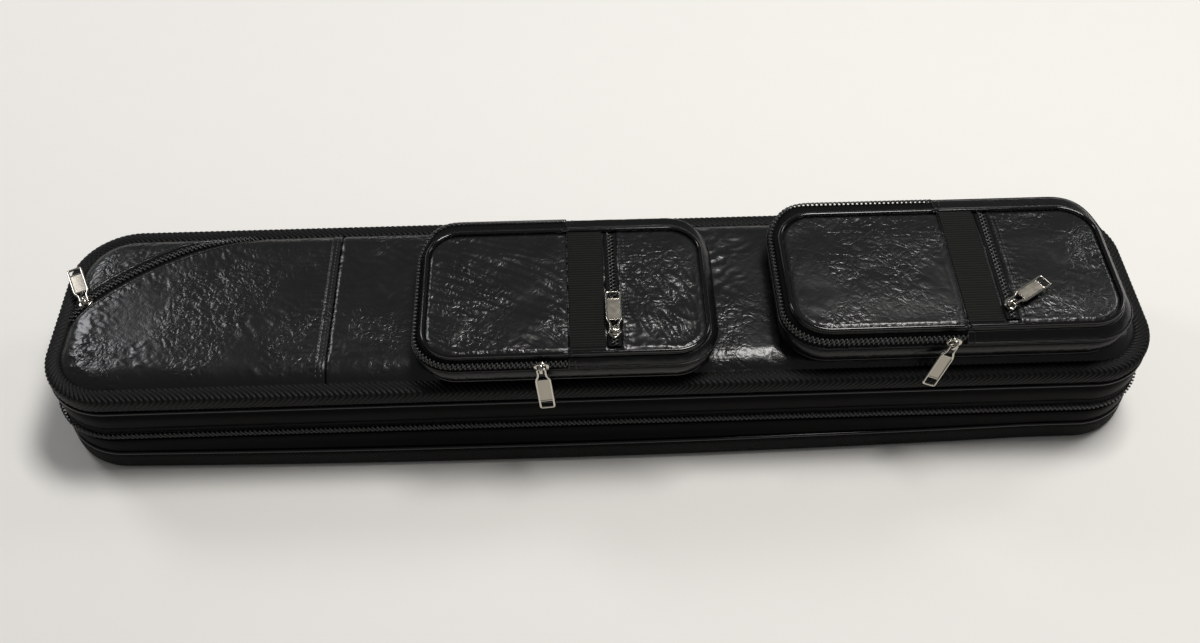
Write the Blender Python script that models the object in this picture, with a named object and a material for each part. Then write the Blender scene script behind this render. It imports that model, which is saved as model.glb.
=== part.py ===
"""A soft-sided case for two-piece cues: a zipped clamshell with a padded lid and two accessory pockets.

Metres, +Z up, +X along the case, -Y the front. The origin is the middle of the underside.
A band is a solid whose cross-section's corners run along loops of points; a stack is one
whose loops lie one above the other, closed by a flat cap at each end.
"""

import math

import bmesh
import bpy
from mathutils import Matrix, Vector

# ---- Driving dimensions ----
LENGTH = 0.850  # over the lid's binding
DEPTH = 0.176
CORNER = 0.051
GAP = 0.0003  # left between pieces that touch
BOARD = 0.003
BASE_BINDING_TOP = 0.0125
ZIP_LINE = 0.042  # where the two halves of the main zipper meet
ZIP_WIDTH = 0.0055  # one half: coil and the tape that shows
BASE_BOW = 0.006  # how far the base's front edge bulges at the floor
LID_BINDING_LOW = 0.071
LID_BINDING_TOP = 0.0835
BINDING_WIDTH = 0.012
CROWN_TOP = 0.0915  # the padded lid's flat top
WALL = 0.005
LINING = 0.0015
LINING_GAP = 0.0012  # the bowed walls are faceted, so a lining stands this clear of them
HINGE_Y = 0.0895  # the line the lid turns on, just outside the back wall

ARC_CENTRE = (-0.2336, -0.1462)  # the curved zipper on the lid is part of this circle
ARC_RADIUS = 0.227
ARC_HALF_WIDTH = 0.005
ARC_FROM, ARC_TO, ARC_SLIDER = 103.2, 140.6, 138.0  # degrees
ARC_TAPE_TOP = 0.0880
SEAM_X = -0.2075  # the seam across the lid

POCKETS = {
    "mid": {
        "outer": ((-0.027, -0.017), (0.114, 0.069), 0.032),  # middle, half sides, corner radius
        "face": ((-0.0265, -0.0195), (0.1055, 0.0605), 0.025),
        "foot_share": 0.8,
        "zip_z": 0.112,
        "top": 0.1210,
        "hinge_x": -0.0245,
        "gusset_slider_x": -0.045,
        "gusset_pull": (0.10, -0.20, -0.97),
        "lid_slider_y": -0.068,
        "lid_pull": (0.0, 1.0, 0.0),
    },
    "right": {
        "outer": ((0.2665, -0.008), (0.1325, 0.0705), 0.034),
        "face": ((0.2655, -0.0105), (0.1235, 0.0585), 0.027),
        "foot_share": 1.1,
        "zip_z": 0.1165,
        "top": 0.1255,
        "hinge_x": 0.2685,
        "gusset_slider_x": 0.2575,
        "gusset_pull": (-0.42, -0.30, -0.855),
        "lid_slider_y": -0.056,
        "lid_pull": (0.83, 0.56, 0.0),
    },
}
FLANGE = 0.0015
FLANGE_Z = 0.0918
SKIN = 0.0025  # a pocket's padded wall
PIPING = 0.0013
PIPING_SLIT = PIPING  # half the gap in the piping at a flap's hinge line, so that its ends turn clear
WEBBING = 0.0265
LID_ZIP_X = 0.034  # from a pocket's hinge line to the middle of the zipper on its lid
LID_ZIP_HALF = 0.005

PULL_LENGTH = 0.037
PULL_HALF_WIDTH = 0.006
PULL_HALF_THICK = 0.0008
LOOP_HALF_WIDTH = 0.0038
LOOP_OPENING = 0.0022
LOOP_LENGTH = 0.0085
SLIDER_DEPTH = 0.0043  # from a slider's underside to the bar that its pull turns on
SLIDER_PLATE_TOP = -0.0019  # below the bar
MAIN_SLIDER_Y = {"front": 0.006, "back": 0.020}
MAIN_SLIDER_X = LENGTH / 2 + 0.005

HANDLE_X = 0.0725  # from the middle of the case to the middle of an arm
HANDLE_HALF = 0.009
HANDLE_HALF_THICK = 0.0018
HANDLE_TOP = 0.033  # the line that the handle turns on
HANDLE_ARM_END = 0.0006  # an arm's end, above that line
HANDLE_LOW = 0.0145
HANDLE_GRIP = 0.0095  # the height of the bar that the hand holds
HANDLE_Y = 0.0915
TAB_LOW = 0.020
TAB_EAR = 0.003

CRADLE_X = 0.250
CRADLE_HALF = 0.030
CRADLE_FLOOR = 0.0051
CRADLE_TOP = 0.056
CRADLE_HALF_Y = 0.078
GROOVES = 4
GROOVE_RADIUS = 0.0155
GROOVE_LIP = 0.004
STRAP_HALF = 0.019
STRAP_THICK = 0.0016
STRAP_LOW = 0.020

SIDE_STEPS, END_STEPS, CORNER_STEPS = 3, 1, 5
# Places on an outline, which runs from the front's left end, counter-clockwise seen from above.
FRONT_SPLIT_RIGHT = SIDE_STEPS + 1
BACK_RIGHT = 2 * SIDE_STEPS + 1 + CORNER_STEPS + END_STEPS + CORNER_STEPS
BACK_SPLIT_RIGHT = BACK_RIGHT + SIDE_STEPS
BACK_LEFT = BACK_RIGHT + 2 * SIDE_STEPS + 1
OUTLINE_POINTS = 2 * (2 * SIDE_STEPS + 1 + END_STEPS + 2 * CORNER_STEPS)


def clear_scene():
    for obj in list(bpy.data.objects):
        bpy.data.objects.remove(obj)


def make_material(name, colour, roughness, metallic=0.0):
    material = bpy.data.materials.new(name)
    material.use_nodes = True
    shader = material.node_tree.nodes["Principled BSDF"]
    shader.inputs["Base Color"].default_value = (*colour, 1.0)
    shader.inputs["Roughness"].default_value = roughness
    shader.inputs["Metallic"].default_value = metallic
    return material


# ---- Outlines ----
def outline(middle, half, radius, z, split=0.0, slit=GAP / 2, bow=0.0):
    """A rounded rectangle at height z. The long sides have two points at split, slit to each side of it.

    The front bulges by bow, most near its middle and not at all by the corners.
    """
    centres = [(1, -1), (1, 1), (-1, 1), (-1, -1)]
    points = []
    for turn, (sign_x, sign_y) in enumerate(centres):
        last_x, last_y = centres[turn - 1]
        out = Vector((math.sin(math.pi / 2 * turn), -math.cos(math.pi / 2 * turn))) * radius
        flat_x, flat_y = half[0] - radius, half[1] - radius
        start = Vector((middle[0] + last_x * flat_x, middle[1] + last_y * flat_y)) + out
        end = Vector((middle[0] + sign_x * flat_x, middle[1] + sign_y * flat_y)) + out
        if turn % 2 == 0:
            along = math.copysign(slit, end.x - start.x)
            before = Vector((split - along, start.y))
            after = Vector((split + along, start.y))
            points += [start.lerp(before, i / SIDE_STEPS) for i in range(SIDE_STEPS + 1)]
            points += [after.lerp(end, i / SIDE_STEPS) for i in range(SIDE_STEPS)]
        else:
            points += [start.lerp(end, i / END_STEPS) for i in range(END_STEPS)]
        corner = end - out
        for i in range(CORNER_STEPS):
            angle = math.pi / 2 * (turn - 1 + i / CORNER_STEPS)
            points.append(corner + radius * Vector((math.cos(angle), math.sin(angle))))
    bowed = []
    for point in points:
        front = max(0.0, min(1.0, (middle[1] - half[1] + radius - point.y) / radius))
        bulge = max(0.0, 1 - ((point.x + 0.04) / (half[0] - radius)) ** 2)
        bowed.append(Vector((point.x, point.y - bow * bulge * front, z)))
    return bowed


def case_line(offset, z):
    """The case's outline at height z, offset outwards. Below the zipper its front bulges."""
    bow = BASE_BOW * max(0.0, 1 - z / ZIP_LINE)
    half = (LENGTH / 2 + offset, DEPTH / 2 + offset)
    return outline((0, 0), half, CORNER + offset, z, bow=bow)


def pocket_line(pocket, share, z, inset=0.0, slit=GAP / 2):
    """A pocket's outline at height z: share 0 is its widest outline and share 1 the edge of its face."""
    (wide, face) = (pocket["outer"], pocket["face"])
    middle = [w + share * (f - w) for w, f in zip(wide[0], face[0])]
    half = [w + share * (f - w) - inset for w, f in zip(wide[1], face[1])]
    radius = wide[2] + share * (face[2] - wide[2]) - inset
    return outline(middle, half, radius, z, split=pocket["hinge_x"], slit=slit)


def run(loop, first, last):
    return [loop[i % len(loop)] for i in range(first, last + 1)]


def left_half(loop):
    return run(loop, BACK_SPLIT_RIGHT + 1, OUTLINE_POINTS + SIDE_STEPS)


def right_half(loop):
    return run(loop, FRONT_SPLIT_RIGHT, BACK_SPLIT_RIGHT)


# ---- Solids ----
def add_object(name, vertices, faces, material):
    mesh = bpy.data.meshes.new(name)
    mesh.from_pydata(vertices, [], faces)
    tidy = bmesh.new()
    tidy.from_mesh(mesh)
    bmesh.ops.recalc_face_normals(tidy, faces=tidy.faces)
    tidy.to_mesh(mesh)
    tidy.free()
    mesh.materials.append(material)
    obj = bpy.data.objects.new(name, mesh)
    bpy.context.collection.objects.link(obj)
    return obj


def band(name, loops, material, closed=True):
    count, length = len(loops), len(loops[0])
    steps = length if closed else length - 1
    faces = []
    for k in range(count):
        for i in range(steps):
            low, high = k * length, (k + 1) % count * length
            j = (i + 1) % length
            faces.append((low + i, low + j, high + j, high + i))
    if not closed:
        faces.append([k * length for k in range(count)])
        faces.append([k * length + length - 1 for k in range(count)])
    return add_object(name, [p for loop in loops for p in loop], faces, material)


def stack(name, loops, material):
    count, length = len(loops), len(loops[0])
    faces = [list(range(length)), [(count - 1) * length + i for i in range(length)]]
    for k in range(count - 1):
        for i in range(length):
            j = (i + 1) % length
            faces.append((k * length + i, k * length + j, (k + 1) * length + j, (k + 1) * length + i))
    return add_object(name, [p for loop in loops for p in loop], faces, material)


def cord(name, line, radius, material, closed=True, sides=6):
    """A round cord along a line of points that lies flat, or nearly."""
    loops = []
    for k in range(sides):
        angle = 2 * math.pi * k / sides
        loop = []
        for i, point in enumerate(line):
            before = line[i - 1] if i or closed else point
            after = line[(i + 1) % len(line)] if i + 1 < len(line) or closed else point
            along = (after - before).normalized()
            out = Vector((along.y, -along.x, 0)).normalized()
            loop.append(point + radius * (math.cos(angle) * out + math.sin(angle) * Vector((0, 0, 1))))
        loops.append(loop)
    return band(name, loops, material, closed)


def cells(name, xs, ys, zs, filled, material):
    """A solid made of the cells of a grid of planes for which filled(i, j, k) is true."""
    sizes = (len(xs) - 1, len(ys) - 1, len(zs) - 1)

    def solid(cell):
        return all(0 <= c < size for c, size in zip(cell, sizes)) and filled(*cell)

    numbers = {}
    faces = []
    sides = [(axis, way) for axis in range(3) for way in (0, 1)]
    every = [(i, j, k) for i in range(sizes[0]) for j in range(sizes[1]) for k in range(sizes[2])]
    for cell in filter(solid, every):
        for axis, way in sides:
            beside = list(cell)
            beside[axis] += 2 * way - 1
            if solid(tuple(beside)):
                continue
            face = []
            for a, b in ((0, 0), (1, 0), (1, 1), (0, 1)):
                corner = list(cell)
                corner[axis] += way
                corner[(axis + 1) % 3] += a
                corner[(axis + 2) % 3] += b
                face.append(numbers.setdefault(tuple(corner), len(numbers)))
            faces.append(face)
    vertices = [(xs[i], ys[j], zs[k]) for i, j, k in numbers]
    return add_object(name, vertices, faces, material)


def block(name, low, high, material):
    return cells(name, *([a, b] for a, b in zip(low, high)), lambda i, j, k: True, material)


def cutter(name, obj):
    obj.name = name
    obj.hide_render = True
    obj.display_type = "WIRE"
    return obj


def cut(obj, tool, operation):
    boolean = obj.modifiers.new(tool.name, "BOOLEAN")
    boolean.operation = operation
    boolean.object = tool
    boolean.solver = "EXACT"


# ---- The base ----
def make_base(looks):
    floor = [case_line(-0.0045, z) for z in (0.0, BOARD)]
    stack("base_panel", floor, looks["board"])
    low, high = GAP, BASE_BINDING_TOP
    profile = [(0.0, low), (0.0006, (low + high) / 2), (0.0, high), (-0.0033, high), (-0.0033, low)]
    band("base_binding", [case_line(*p) for p in profile], looks["binding"])
    welt = case_line(-0.0012, BASE_BINDING_TOP + GAP + 0.0015)
    cord("base_piping", welt, 0.0015, looks["leather"])
    low, high = BASE_BINDING_TOP + 2 * GAP + 0.003, ZIP_LINE - ZIP_WIDTH - GAP
    profile = [(-0.001, low), (-0.0005, (low + high) / 2), (-0.001, high), (-WALL, high), (-WALL, low)]
    band("base_wall", [case_line(*p) for p in profile], looks["leather"])
    outer = -WALL - LINING_GAP
    inner = outer - LINING
    profile = [(inner, BOARD + GAP + LINING), (inner, high), (outer, high), (outer, BOARD + GAP)]
    stack("base_lining", [case_line(*p) for p in profile], looks["lining"])


def make_cradle(name, x, material):
    """A foam block across the case, with a round-bottomed groove for each cue half."""
    pitch = 2 * CRADLE_HALF_Y / GROOVES
    edge = [(-CRADLE_HALF_Y, CRADLE_FLOOR), (CRADLE_HALF_Y, CRADLE_FLOOR), (CRADLE_HALF_Y, CRADLE_TOP)]
    for groove in reversed(range(GROOVES)):
        middle = -CRADLE_HALF_Y + pitch * (groove + 0.5)
        for i in range(9):
            angle = -math.pi * i / 8
            y = middle + GROOVE_RADIUS * math.cos(angle)
            z = CRADLE_TOP - GROOVE_LIP + GROOVE_RADIUS * math.sin(angle)
            edge.append((y, z))
            if i in (0, 8):
                lip = (edge[-1][0], CRADLE_TOP)
                edge.insert(len(edge) - 1 if i == 0 else len(edge), lip)
    edge.append((-CRADLE_HALF_Y, CRADLE_TOP))
    loops = [[Vector((side, y, z)) for y, z in edge] for side in (x - CRADLE_HALF, x + CRADLE_HALF)]
    stack(name, loops, material)


def make_cue_strap(name, x, material):
    """A strap over the cradle, with a leg down each side of it."""
    inner = CRADLE_HALF_Y + GAP
    outer = inner + STRAP_THICK
    top = CRADLE_TOP + GAP
    cells(
        name,
        [x - STRAP_HALF, x + STRAP_HALF],
        [-outer, -inner, inner, outer],
        [STRAP_LOW, top, top + STRAP_THICK],
        lambda i, j, k: k == 1 or j != 1,
        material,
    )


def make_spine_hinge(material):
    reach = LENGTH / 2 - CORNER - 0.001
    low, high = ZIP_LINE - ZIP_WIDTH, ZIP_LINE + ZIP_WIDTH
    block("spine_hinge", (-reach, DEPTH / 2 - 0.003, low), (reach, DEPTH / 2 - 0.001, high), material)


def make_handle(leather):
    """A flat carrying handle on the back of the base, hanging against it from two stitched tabs."""
    for side, word in ((-1, "left"), (1, "right")):
        middle = side * HANDLE_X
        inner = HANDLE_HALF + GAP
        outer = HANDLE_HALF + TAB_EAR
        cells(
            "handle_tab_" + word,
            [middle - outer, middle - inner, middle + inner, middle + outer],
            [DEPTH / 2 + GAP, HANDLE_Y - HANDLE_HALF_THICK - GAP, HANDLE_Y + HANDLE_HALF_THICK],
            [TAB_LOW, HANDLE_TOP - HANDLE_HALF_THICK - GAP, HANDLE_TOP + 0.0015],
            lambda i, j, k: j == 0 or (i != 1 and k == 1),
            leather,
        )
    arm, far = HANDLE_X - HANDLE_HALF, HANDLE_X + HANDLE_HALF
    low = HANDLE_LOW - HANDLE_TOP
    grip = cells(
        "handle_grip",
        [-far, -arm, arm, far],
        [-HANDLE_HALF_THICK, HANDLE_HALF_THICK],
        [low, low + HANDLE_GRIP, HANDLE_ARM_END],
        lambda i, j, k: k == 0 or i != 1,
        leather,
    )
    grip.location = (0, HANDLE_Y, HANDLE_TOP)


# ---- The zippers' pieces ----
def case_zip_line(profile):
    """Runs of the case's outline from the back left corner round the front to the back right one."""
    return [run(case_line(*p), BACK_LEFT, OUTLINE_POINTS + BACK_RIGHT) for p in profile]


def make_main_zip(tape):
    for name, low, high in (
        ("main_zip_lower", ZIP_LINE - ZIP_WIDTH, ZIP_LINE - GAP / 2),
        ("main_zip_upper", ZIP_LINE + GAP / 2, ZIP_LINE + ZIP_WIDTH),
    ):
        profile = [(-0.001, low), (-0.001, high), (-0.003, high), (-0.003, low)]
        band(name, case_zip_line(profile), tape, closed=False)


def pull_mesh_object(name, material):
    """A frame plate with a window, on a loop whose end bar lies on the object's own Y axis."""
    shoulder, window = LOOP_LENGTH, PULL_LENGTH - 0.0085
    xs = [-PULL_HALF_THICK, PULL_HALF_THICK, shoulder, window, PULL_LENGTH - 0.002, PULL_LENGTH]
    ys = [-PULL_HALF_WIDTH, -LOOP_HALF_WIDTH, -LOOP_OPENING, LOOP_OPENING, LOOP_HALF_WIDTH, PULL_HALF_WIDTH]
    zs = [-PULL_HALF_THICK, PULL_HALF_THICK]

    def filled(i, j, _):
        if i == 0:
            return 0 < j < 4
        if i == 1:
            return j in (1, 3)
        return i != 3 or j in (0, 4)

    return cells(name, xs, ys, zs, filled, material)


def slider_plate(name, material):
    low, high = (-0.006, -0.0045, -SLIDER_DEPTH), (0.0055, 0.0045, SLIDER_PLATE_TOP)
    return block(name, low, high, material)


def slider_arch(name, material):
    """An arch over its object's own Y axis, for the pull's bar to turn in. Its feet stand in the plate."""
    xs = [-0.0042, -0.0029, 0.0029, 0.0042]
    zs = [SLIDER_PLATE_TOP - 0.001, 0.0013, 0.0026]
    return cells(name, xs, [-0.0012, 0.0012], zs, lambda i, j, k: k == 1 or i != 1, material)


def turned(origin, along, up):
    """The matrix of a place whose own X lies along the pull and own Z out of the surface."""
    along = Vector(along).normalized()
    across = Vector(up).cross(along).normalized()
    out = along.cross(across)
    matrix = Matrix((along, across, out)).transposed().to_4x4()
    matrix.translation = origin
    return matrix


def make_slider_and_pull(name, origin, along, up, chain, nickel):
    """The slider's plate lies along its chain; its arch faces the way the pull lies at rest."""
    slider = slider_plate(name + "_slider", nickel)
    slider.matrix_world = turned(origin, chain, up)
    arch = cutter("arch_" + name, slider_arch("arch", nickel))
    arch.matrix_world = turned(origin, along, up)
    cut(slider, arch, "UNION")
    pull = pull_mesh_object(name + "_pull", nickel)
    pull.matrix_world = turned(origin, along, up)


def make_main_sliders(nickel):
    for word, y in MAIN_SLIDER_Y.items():
        origin = (MAIN_SLIDER_X, y, ZIP_LINE)
        make_slider_and_pull("main_" + word, origin, (0, 0, -1), (1, 0, 0), (0, 1, 0), nickel)


# ---- The lid ----
def make_lid_shell(looks):
    low, high = ZIP_LINE + ZIP_WIDTH + GAP, LID_BINDING_LOW - GAP
    profile = [(-0.001, low), (0.0, (low + high) / 2), (-0.001, high), (-WALL, high), (-WALL, low)]
    band("lid_wall", [case_line(*p) for p in profile], looks["leather"])
    under = LID_BINDING_TOP - 0.0022
    profile = [
        (0.0, LID_BINDING_LOW),
        (0.0, LID_BINDING_TOP - 0.001),
        (-0.001, LID_BINDING_TOP),
        (-BINDING_WIDTH, LID_BINDING_TOP),
        (-BINDING_WIDTH, under),
        (-0.0025, under),
        (-0.0025, LID_BINDING_LOW),
    ]
    band("lid_binding", [case_line(*p) for p in profile], looks["binding"])
    edge = -WALL - LINING_GAP
    roof = under - GAP
    profile = [(edge - LINING, roof - LINING), (edge - LINING, low), (edge, low), (edge, roof)]
    stack("lid_lining", [case_line(*p) for p in profile], looks["lining"])


def crown_loops():
    """The padded lid's loops: its sunk edge inside the binding, then up to the flat top."""
    edge = -BINDING_WIDTH - GAP
    profile = [
        (edge, LID_BINDING_TOP - 0.0020),
        (edge, LID_BINDING_TOP + 0.0005),
        (edge - 0.006, CROWN_TOP - 0.0025),
        (edge - 0.020, CROWN_TOP),
    ]
    return [case_line(*p) for p in profile]


def make_lid_panels(leather):
    """One padded panel each side of the seam; the curved zipper cuts the left one in two."""
    corner = stack("lid_panel_corner", crown_loops(), leather)
    left = stack("lid_panel_left", crown_loops(), leather)
    main = stack("lid_panel_main", crown_loops(), leather)
    seam = block("cutter_left", (-0.6, -0.2, 0.05), (SEAM_X - GAP / 2, 0.2, 0.15), leather)
    rest = block("cutter_right", (SEAM_X + GAP / 2, -0.2, 0.05), (0.6, 0.2, 0.15), leather)
    cutter("cutter_left", seam)
    cutter("cutter_right", rest)
    steps = 120
    for name, offset in (("cutter_inner", -ARC_HALF_WIDTH), ("cutter_outer", ARC_HALF_WIDTH)):
        rings = []
        for z in (0.05, 0.15):
            angles = [2 * math.pi * i / steps for i in range(steps)]
            centre = Vector((*ARC_CENTRE, z))
            reach = ARC_RADIUS + offset
            rings.append([centre + reach * Vector((math.cos(a), math.sin(a), 0)) for a in angles])
        cutter(name, stack(name, rings, leather))
    cut(main, rest, "INTERSECT")
    cut(left, seam, "INTERSECT")
    cut(left, bpy.data.objects["cutter_inner"], "INTERSECT")
    cut(corner, seam, "INTERSECT")
    cut(corner, bpy.data.objects["cutter_outer"], "DIFFERENCE")


def arc_point(angle, radius, z):
    turn = math.radians(angle)
    x = ARC_CENTRE[0] + radius * math.cos(turn)
    y = ARC_CENTRE[1] + radius * math.sin(turn)
    return Vector((x, y, z))


def make_arc_zip(looks):
    steps = 12
    angles = [ARC_FROM + (ARC_TO - ARC_FROM) * i / steps for i in range(steps + 1)]
    half = ARC_HALF_WIDTH - GAP
    under = ARC_TAPE_TOP - 0.0015
    profile = [(-half, under), (half, under), (half, ARC_TAPE_TOP), (-half, ARC_TAPE_TOP)]
    loops = [[arc_point(a, ARC_RADIUS + offset, z) for a in angles] for offset, z in profile]
    band("arc_zip_tape", loops, looks["tape"], closed=False)
    origin = arc_point(ARC_SLIDER, ARC_RADIUS, ARC_TAPE_TOP + GAP + SLIDER_DEPTH + 0.0004)
    turn = math.radians(ARC_SLIDER)
    chain = (math.sin(turn), -math.cos(turn), 0)
    make_slider_and_pull("arc", origin, (-0.43, 0.90, 0), (0, 0, 1), chain, looks["nickel"])


# ---- A pocket ----
def pocket_levels(pocket):
    """Heights round a pocket: the wall's foot, and the zipper's low edge, middle and high edge."""
    middle = pocket["zip_z"]
    return FLANGE_Z + FLANGE + GAP, middle - 0.0045, middle, middle + 0.0040


def lid_half(name, pocket, half, leather):
    """Half of a pocket's lid: a thin hollow shell with a turned-down rim."""
    high = pocket_levels(pocket)[3] + GAP
    top = pocket["top"]
    inner_slit = GAP / 2 + SKIN
    loops = [
        pocket_line(pocket, 1.0, top - SKIN, inset=SKIN + 0.002, slit=inner_slit),
        pocket_line(pocket, 0.80, high, inset=SKIN, slit=inner_slit),
        pocket_line(pocket, 0.80, high),
        pocket_line(pocket, 1.0, top - 0.0018, inset=0.002),
        pocket_line(pocket, 1.0, top, inset=0.010),
    ]
    stack(name, [half(loop) for loop in loops], leather)


def make_pocket(word, pocket, looks):
    foot, low, middle, high = pocket_levels(pocket)
    leather, tape = looks["leather"], looks["tape"]
    flange = [pocket_line(pocket, pocket["foot_share"] - 0.25, z) for z in (FLANGE_Z, FLANGE_Z + FLANGE)]
    stack(word + "_pocket_back", flange, leather)
    shares = [(pocket["foot_share"], foot), (0.0, foot + 0.007), (0.0, low - GAP)]
    wall = [pocket_line(pocket, share, z) for share, z in shares]
    wall += [pocket_line(pocket, share, z, inset=SKIN) for share, z in reversed(shares)]
    band(word + "_pocket_wall", wall, leather)

    def strip(name, levels, half, material, proud=0.0):
        loops = [pocket_line(pocket, share, z, inset=-proud) for share, z in levels]
        loops += [pocket_line(pocket, share, z, inset=0.002) for share, z in reversed(levels)]
        return band(name, [half(loop) for loop in loops], material, closed=False)

    strip(word + "_zip_lower", [(0.0, low), (0.36, middle - GAP / 2)], left_half, tape)
    strip(word + "_zip_upper", [(0.38, middle + GAP / 2), (0.78, high)], left_half, tape)
    cover = [(0.0, low), (0.36, middle), (0.78, high)]
    strip(word + "_zip_cover", cover, right_half, leather, proud=0.0008)
    lid_half(word + "_pocket_flap", pocket, left_half, leather)
    lid_half(word + "_pocket_top", pocket, right_half, leather)
    edge = pocket_line(pocket, 1.0, pocket["top"] - 0.0004, inset=0.0001, slit=PIPING_SLIT)
    cord(word + "_flap_piping", left_half(edge), PIPING, looks["piping"], closed=False)
    cord(word + "_top_piping", right_half(edge), PIPING, looks["piping"], closed=False)

    (_, centre_y), (_, half_y), _ = pocket["face"]
    reach = half_y - 0.004
    lift = pocket["top"] + GAP
    start = pocket["hinge_x"] + 0.0012
    low_corner = (start, centre_y - reach, lift)
    high_corner = (start + WEBBING, centre_y + reach, lift + 0.0012)
    block(word + "_webbing", low_corner, high_corner, looks["binding"])
    zip_x = pocket["hinge_x"] + LID_ZIP_X
    low_corner = (zip_x - LID_ZIP_HALF, centre_y - reach, lift)
    high_corner = (zip_x + LID_ZIP_HALF, centre_y + reach, lift + 0.0012)
    block(word + "_lid_zip", low_corner, high_corner, tape)
    origin = (zip_x, pocket["lid_slider_y"], lift + 0.0012 + GAP + SLIDER_DEPTH)
    pull = pocket["lid_pull"]
    make_slider_and_pull(word + "_lid", origin, pull, (0, 0, 1), (0, 1, 0), looks["nickel"])

    front = min(point.y for point in pocket_line(pocket, 0.0, middle))
    origin = (pocket["gusset_slider_x"], front - GAP - SLIDER_DEPTH, middle)
    pull = pocket["gusset_pull"]
    make_slider_and_pull(word + "_gusset", origin, pull, (0, -1, 0), (1, 0, 0), looks["nickel"])


def main():
    clear_scene()
    looks = {
        "leather": make_material("leatherette", (0.018, 0.019, 0.020), 0.42),
        "binding": make_material("binding_twill", (0.016, 0.016, 0.017), 0.85),
        "tape": make_material("zipper_nylon", (0.020, 0.020, 0.021), 0.60),
        "piping": make_material("welt_piping", (0.014, 0.014, 0.015), 0.28),
        "nickel": make_material("nickel_plate", (0.56, 0.54, 0.50), 0.25, 1.0),
        "lining": make_material("lining_cloth", (0.045, 0.045, 0.048), 0.90),
        "foam": make_material("foam", (0.05, 0.05, 0.05), 0.95),
        "board": make_material("base_board", (0.02, 0.02, 0.02), 0.70),
    }
    make_base(looks)
    for side, word in ((-1, "left"), (1, "right")):
        make_cradle("cue_cradle_" + word, side * CRADLE_X, looks["foam"])
        make_cue_strap("cue_strap_" + word, side * CRADLE_X, looks["binding"])
    make_spine_hinge(looks["leather"])
    make_handle(looks["leather"])
    make_main_zip(looks["tape"])
    make_main_sliders(looks["nickel"])
    make_lid_shell(looks)
    make_lid_panels(looks["leather"])
    make_arc_zip(looks)
    for word, pocket in POCKETS.items():
        make_pocket(word, pocket, looks)


main()
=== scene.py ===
"""The looks of a soft-sided cue case: crinkled black leatherette, twill binding, nylon zippers, nickel pulls.

Metres, +Z up, +X along the case, -Y the front. Every piece is a set of grids of points. A grid comes
from a profile carried round a rounded rectangle, a tube along a path, or heights over a panel.
"""

import math

import bmesh
import bpy
import numpy as np
from mathutils import Matrix


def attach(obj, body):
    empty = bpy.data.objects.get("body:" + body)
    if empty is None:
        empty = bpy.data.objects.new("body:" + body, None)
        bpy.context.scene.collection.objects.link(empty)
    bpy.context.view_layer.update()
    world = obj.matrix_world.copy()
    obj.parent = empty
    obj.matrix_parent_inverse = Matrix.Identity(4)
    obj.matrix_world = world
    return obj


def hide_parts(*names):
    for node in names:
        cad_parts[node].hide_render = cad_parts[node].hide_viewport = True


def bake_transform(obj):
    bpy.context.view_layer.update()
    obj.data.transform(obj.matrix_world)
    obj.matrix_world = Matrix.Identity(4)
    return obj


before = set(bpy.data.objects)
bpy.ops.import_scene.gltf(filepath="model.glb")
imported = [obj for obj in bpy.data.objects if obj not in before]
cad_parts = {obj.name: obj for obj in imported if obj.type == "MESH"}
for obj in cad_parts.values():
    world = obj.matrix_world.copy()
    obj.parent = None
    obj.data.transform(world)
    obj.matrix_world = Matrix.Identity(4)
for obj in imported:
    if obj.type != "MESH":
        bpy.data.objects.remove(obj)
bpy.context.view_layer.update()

MM = 0.001
WELD = 1e-6

# ---- Sizes shared with the model under the looks ----
LENGTH, DEPTH, CORNER = 0.850, 0.176, 0.051
CASE = ((0.0, 0.0), (LENGTH / 2, DEPTH / 2), CORNER)  # middle, half sides, corner radius
ZIP_LINE = 0.042
BASE_BOW = 0.006
CROWN_TOP = 0.0915
ARC_CENTRE, ARC_RADIUS = np.array([-0.2336, -0.1462]), 0.227
ARC_FROM, ARC_TO = 100.0, 143.0  # degrees
ARC_EDGE = 0.0048  # from the curved zipper's middle to a folded edge beside it
SEAM_X = -0.2075
SEAM_ROWS = (0.0030, 0.0070)  # two rows of stitches left of the seam
PANEL_INSET, PANEL_UNDER = 0.0108, 0.0812
CRADLE_X = 0.250
HANDLE_X, HANDLE_Y = 0.0725, 0.0915
POCKETS = {
    "mid": {
        "outer": ((-0.027, -0.017), (0.114, 0.069), 0.032),
        "face": ((-0.0265, -0.0215), (0.1055, 0.0615), 0.025),
        "foot_share": 1.25,
        "back": (0.0045, 0.0060),
        "zip_z": 0.112,
        "top": 0.1210,
        "hinge_x": -0.0245,
        "seed": 11,
    },
    "right": {
        "outer": ((0.2665, -0.008), (0.1325, 0.0705), 0.034),
        "face": ((0.2655, -0.0130), (0.1235, 0.0590), 0.027),
        "foot_share": 1.1,
        "back": (0.0035, 0.0044),
        "zip_z": 0.1165,
        "top": 0.1255,
        "hinge_x": 0.2685,
        "seed": 23,
    },
}
FLANGE_Z = 0.0918
WEBBING = 0.0265
LID_ZIP_X = 0.034
COIL_PITCH = 3.6 * MM  # the real one is 1.5 mm, too fine to show from here
STITCH_PITCH = 3.6 * MM
RIB = 4.4 * MM  # the binding's ribs, and the unit of its UV map
WEBBING_RIB = 2.4 * MM


# ---- Small tools ----
def linear(code):
    """An sRGB hex colour as the linear RGBA that shaders take."""
    channels = np.array([int(code[i : i + 2], 16) for i in (1, 3, 5)]) / 255
    low = channels / 12.92
    high = ((channels + 0.055) / 1.055) ** 2.4
    return (*np.where(channels <= 0.04045, low, high), 1.0)


def smooth(low, high, x):
    """0 below low, 1 above high, and 3t^2 - 2t^3 between."""
    t = np.clip((x - low) / (high - low), 0, 1)
    return t * t * (3 - 2 * t)


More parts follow.
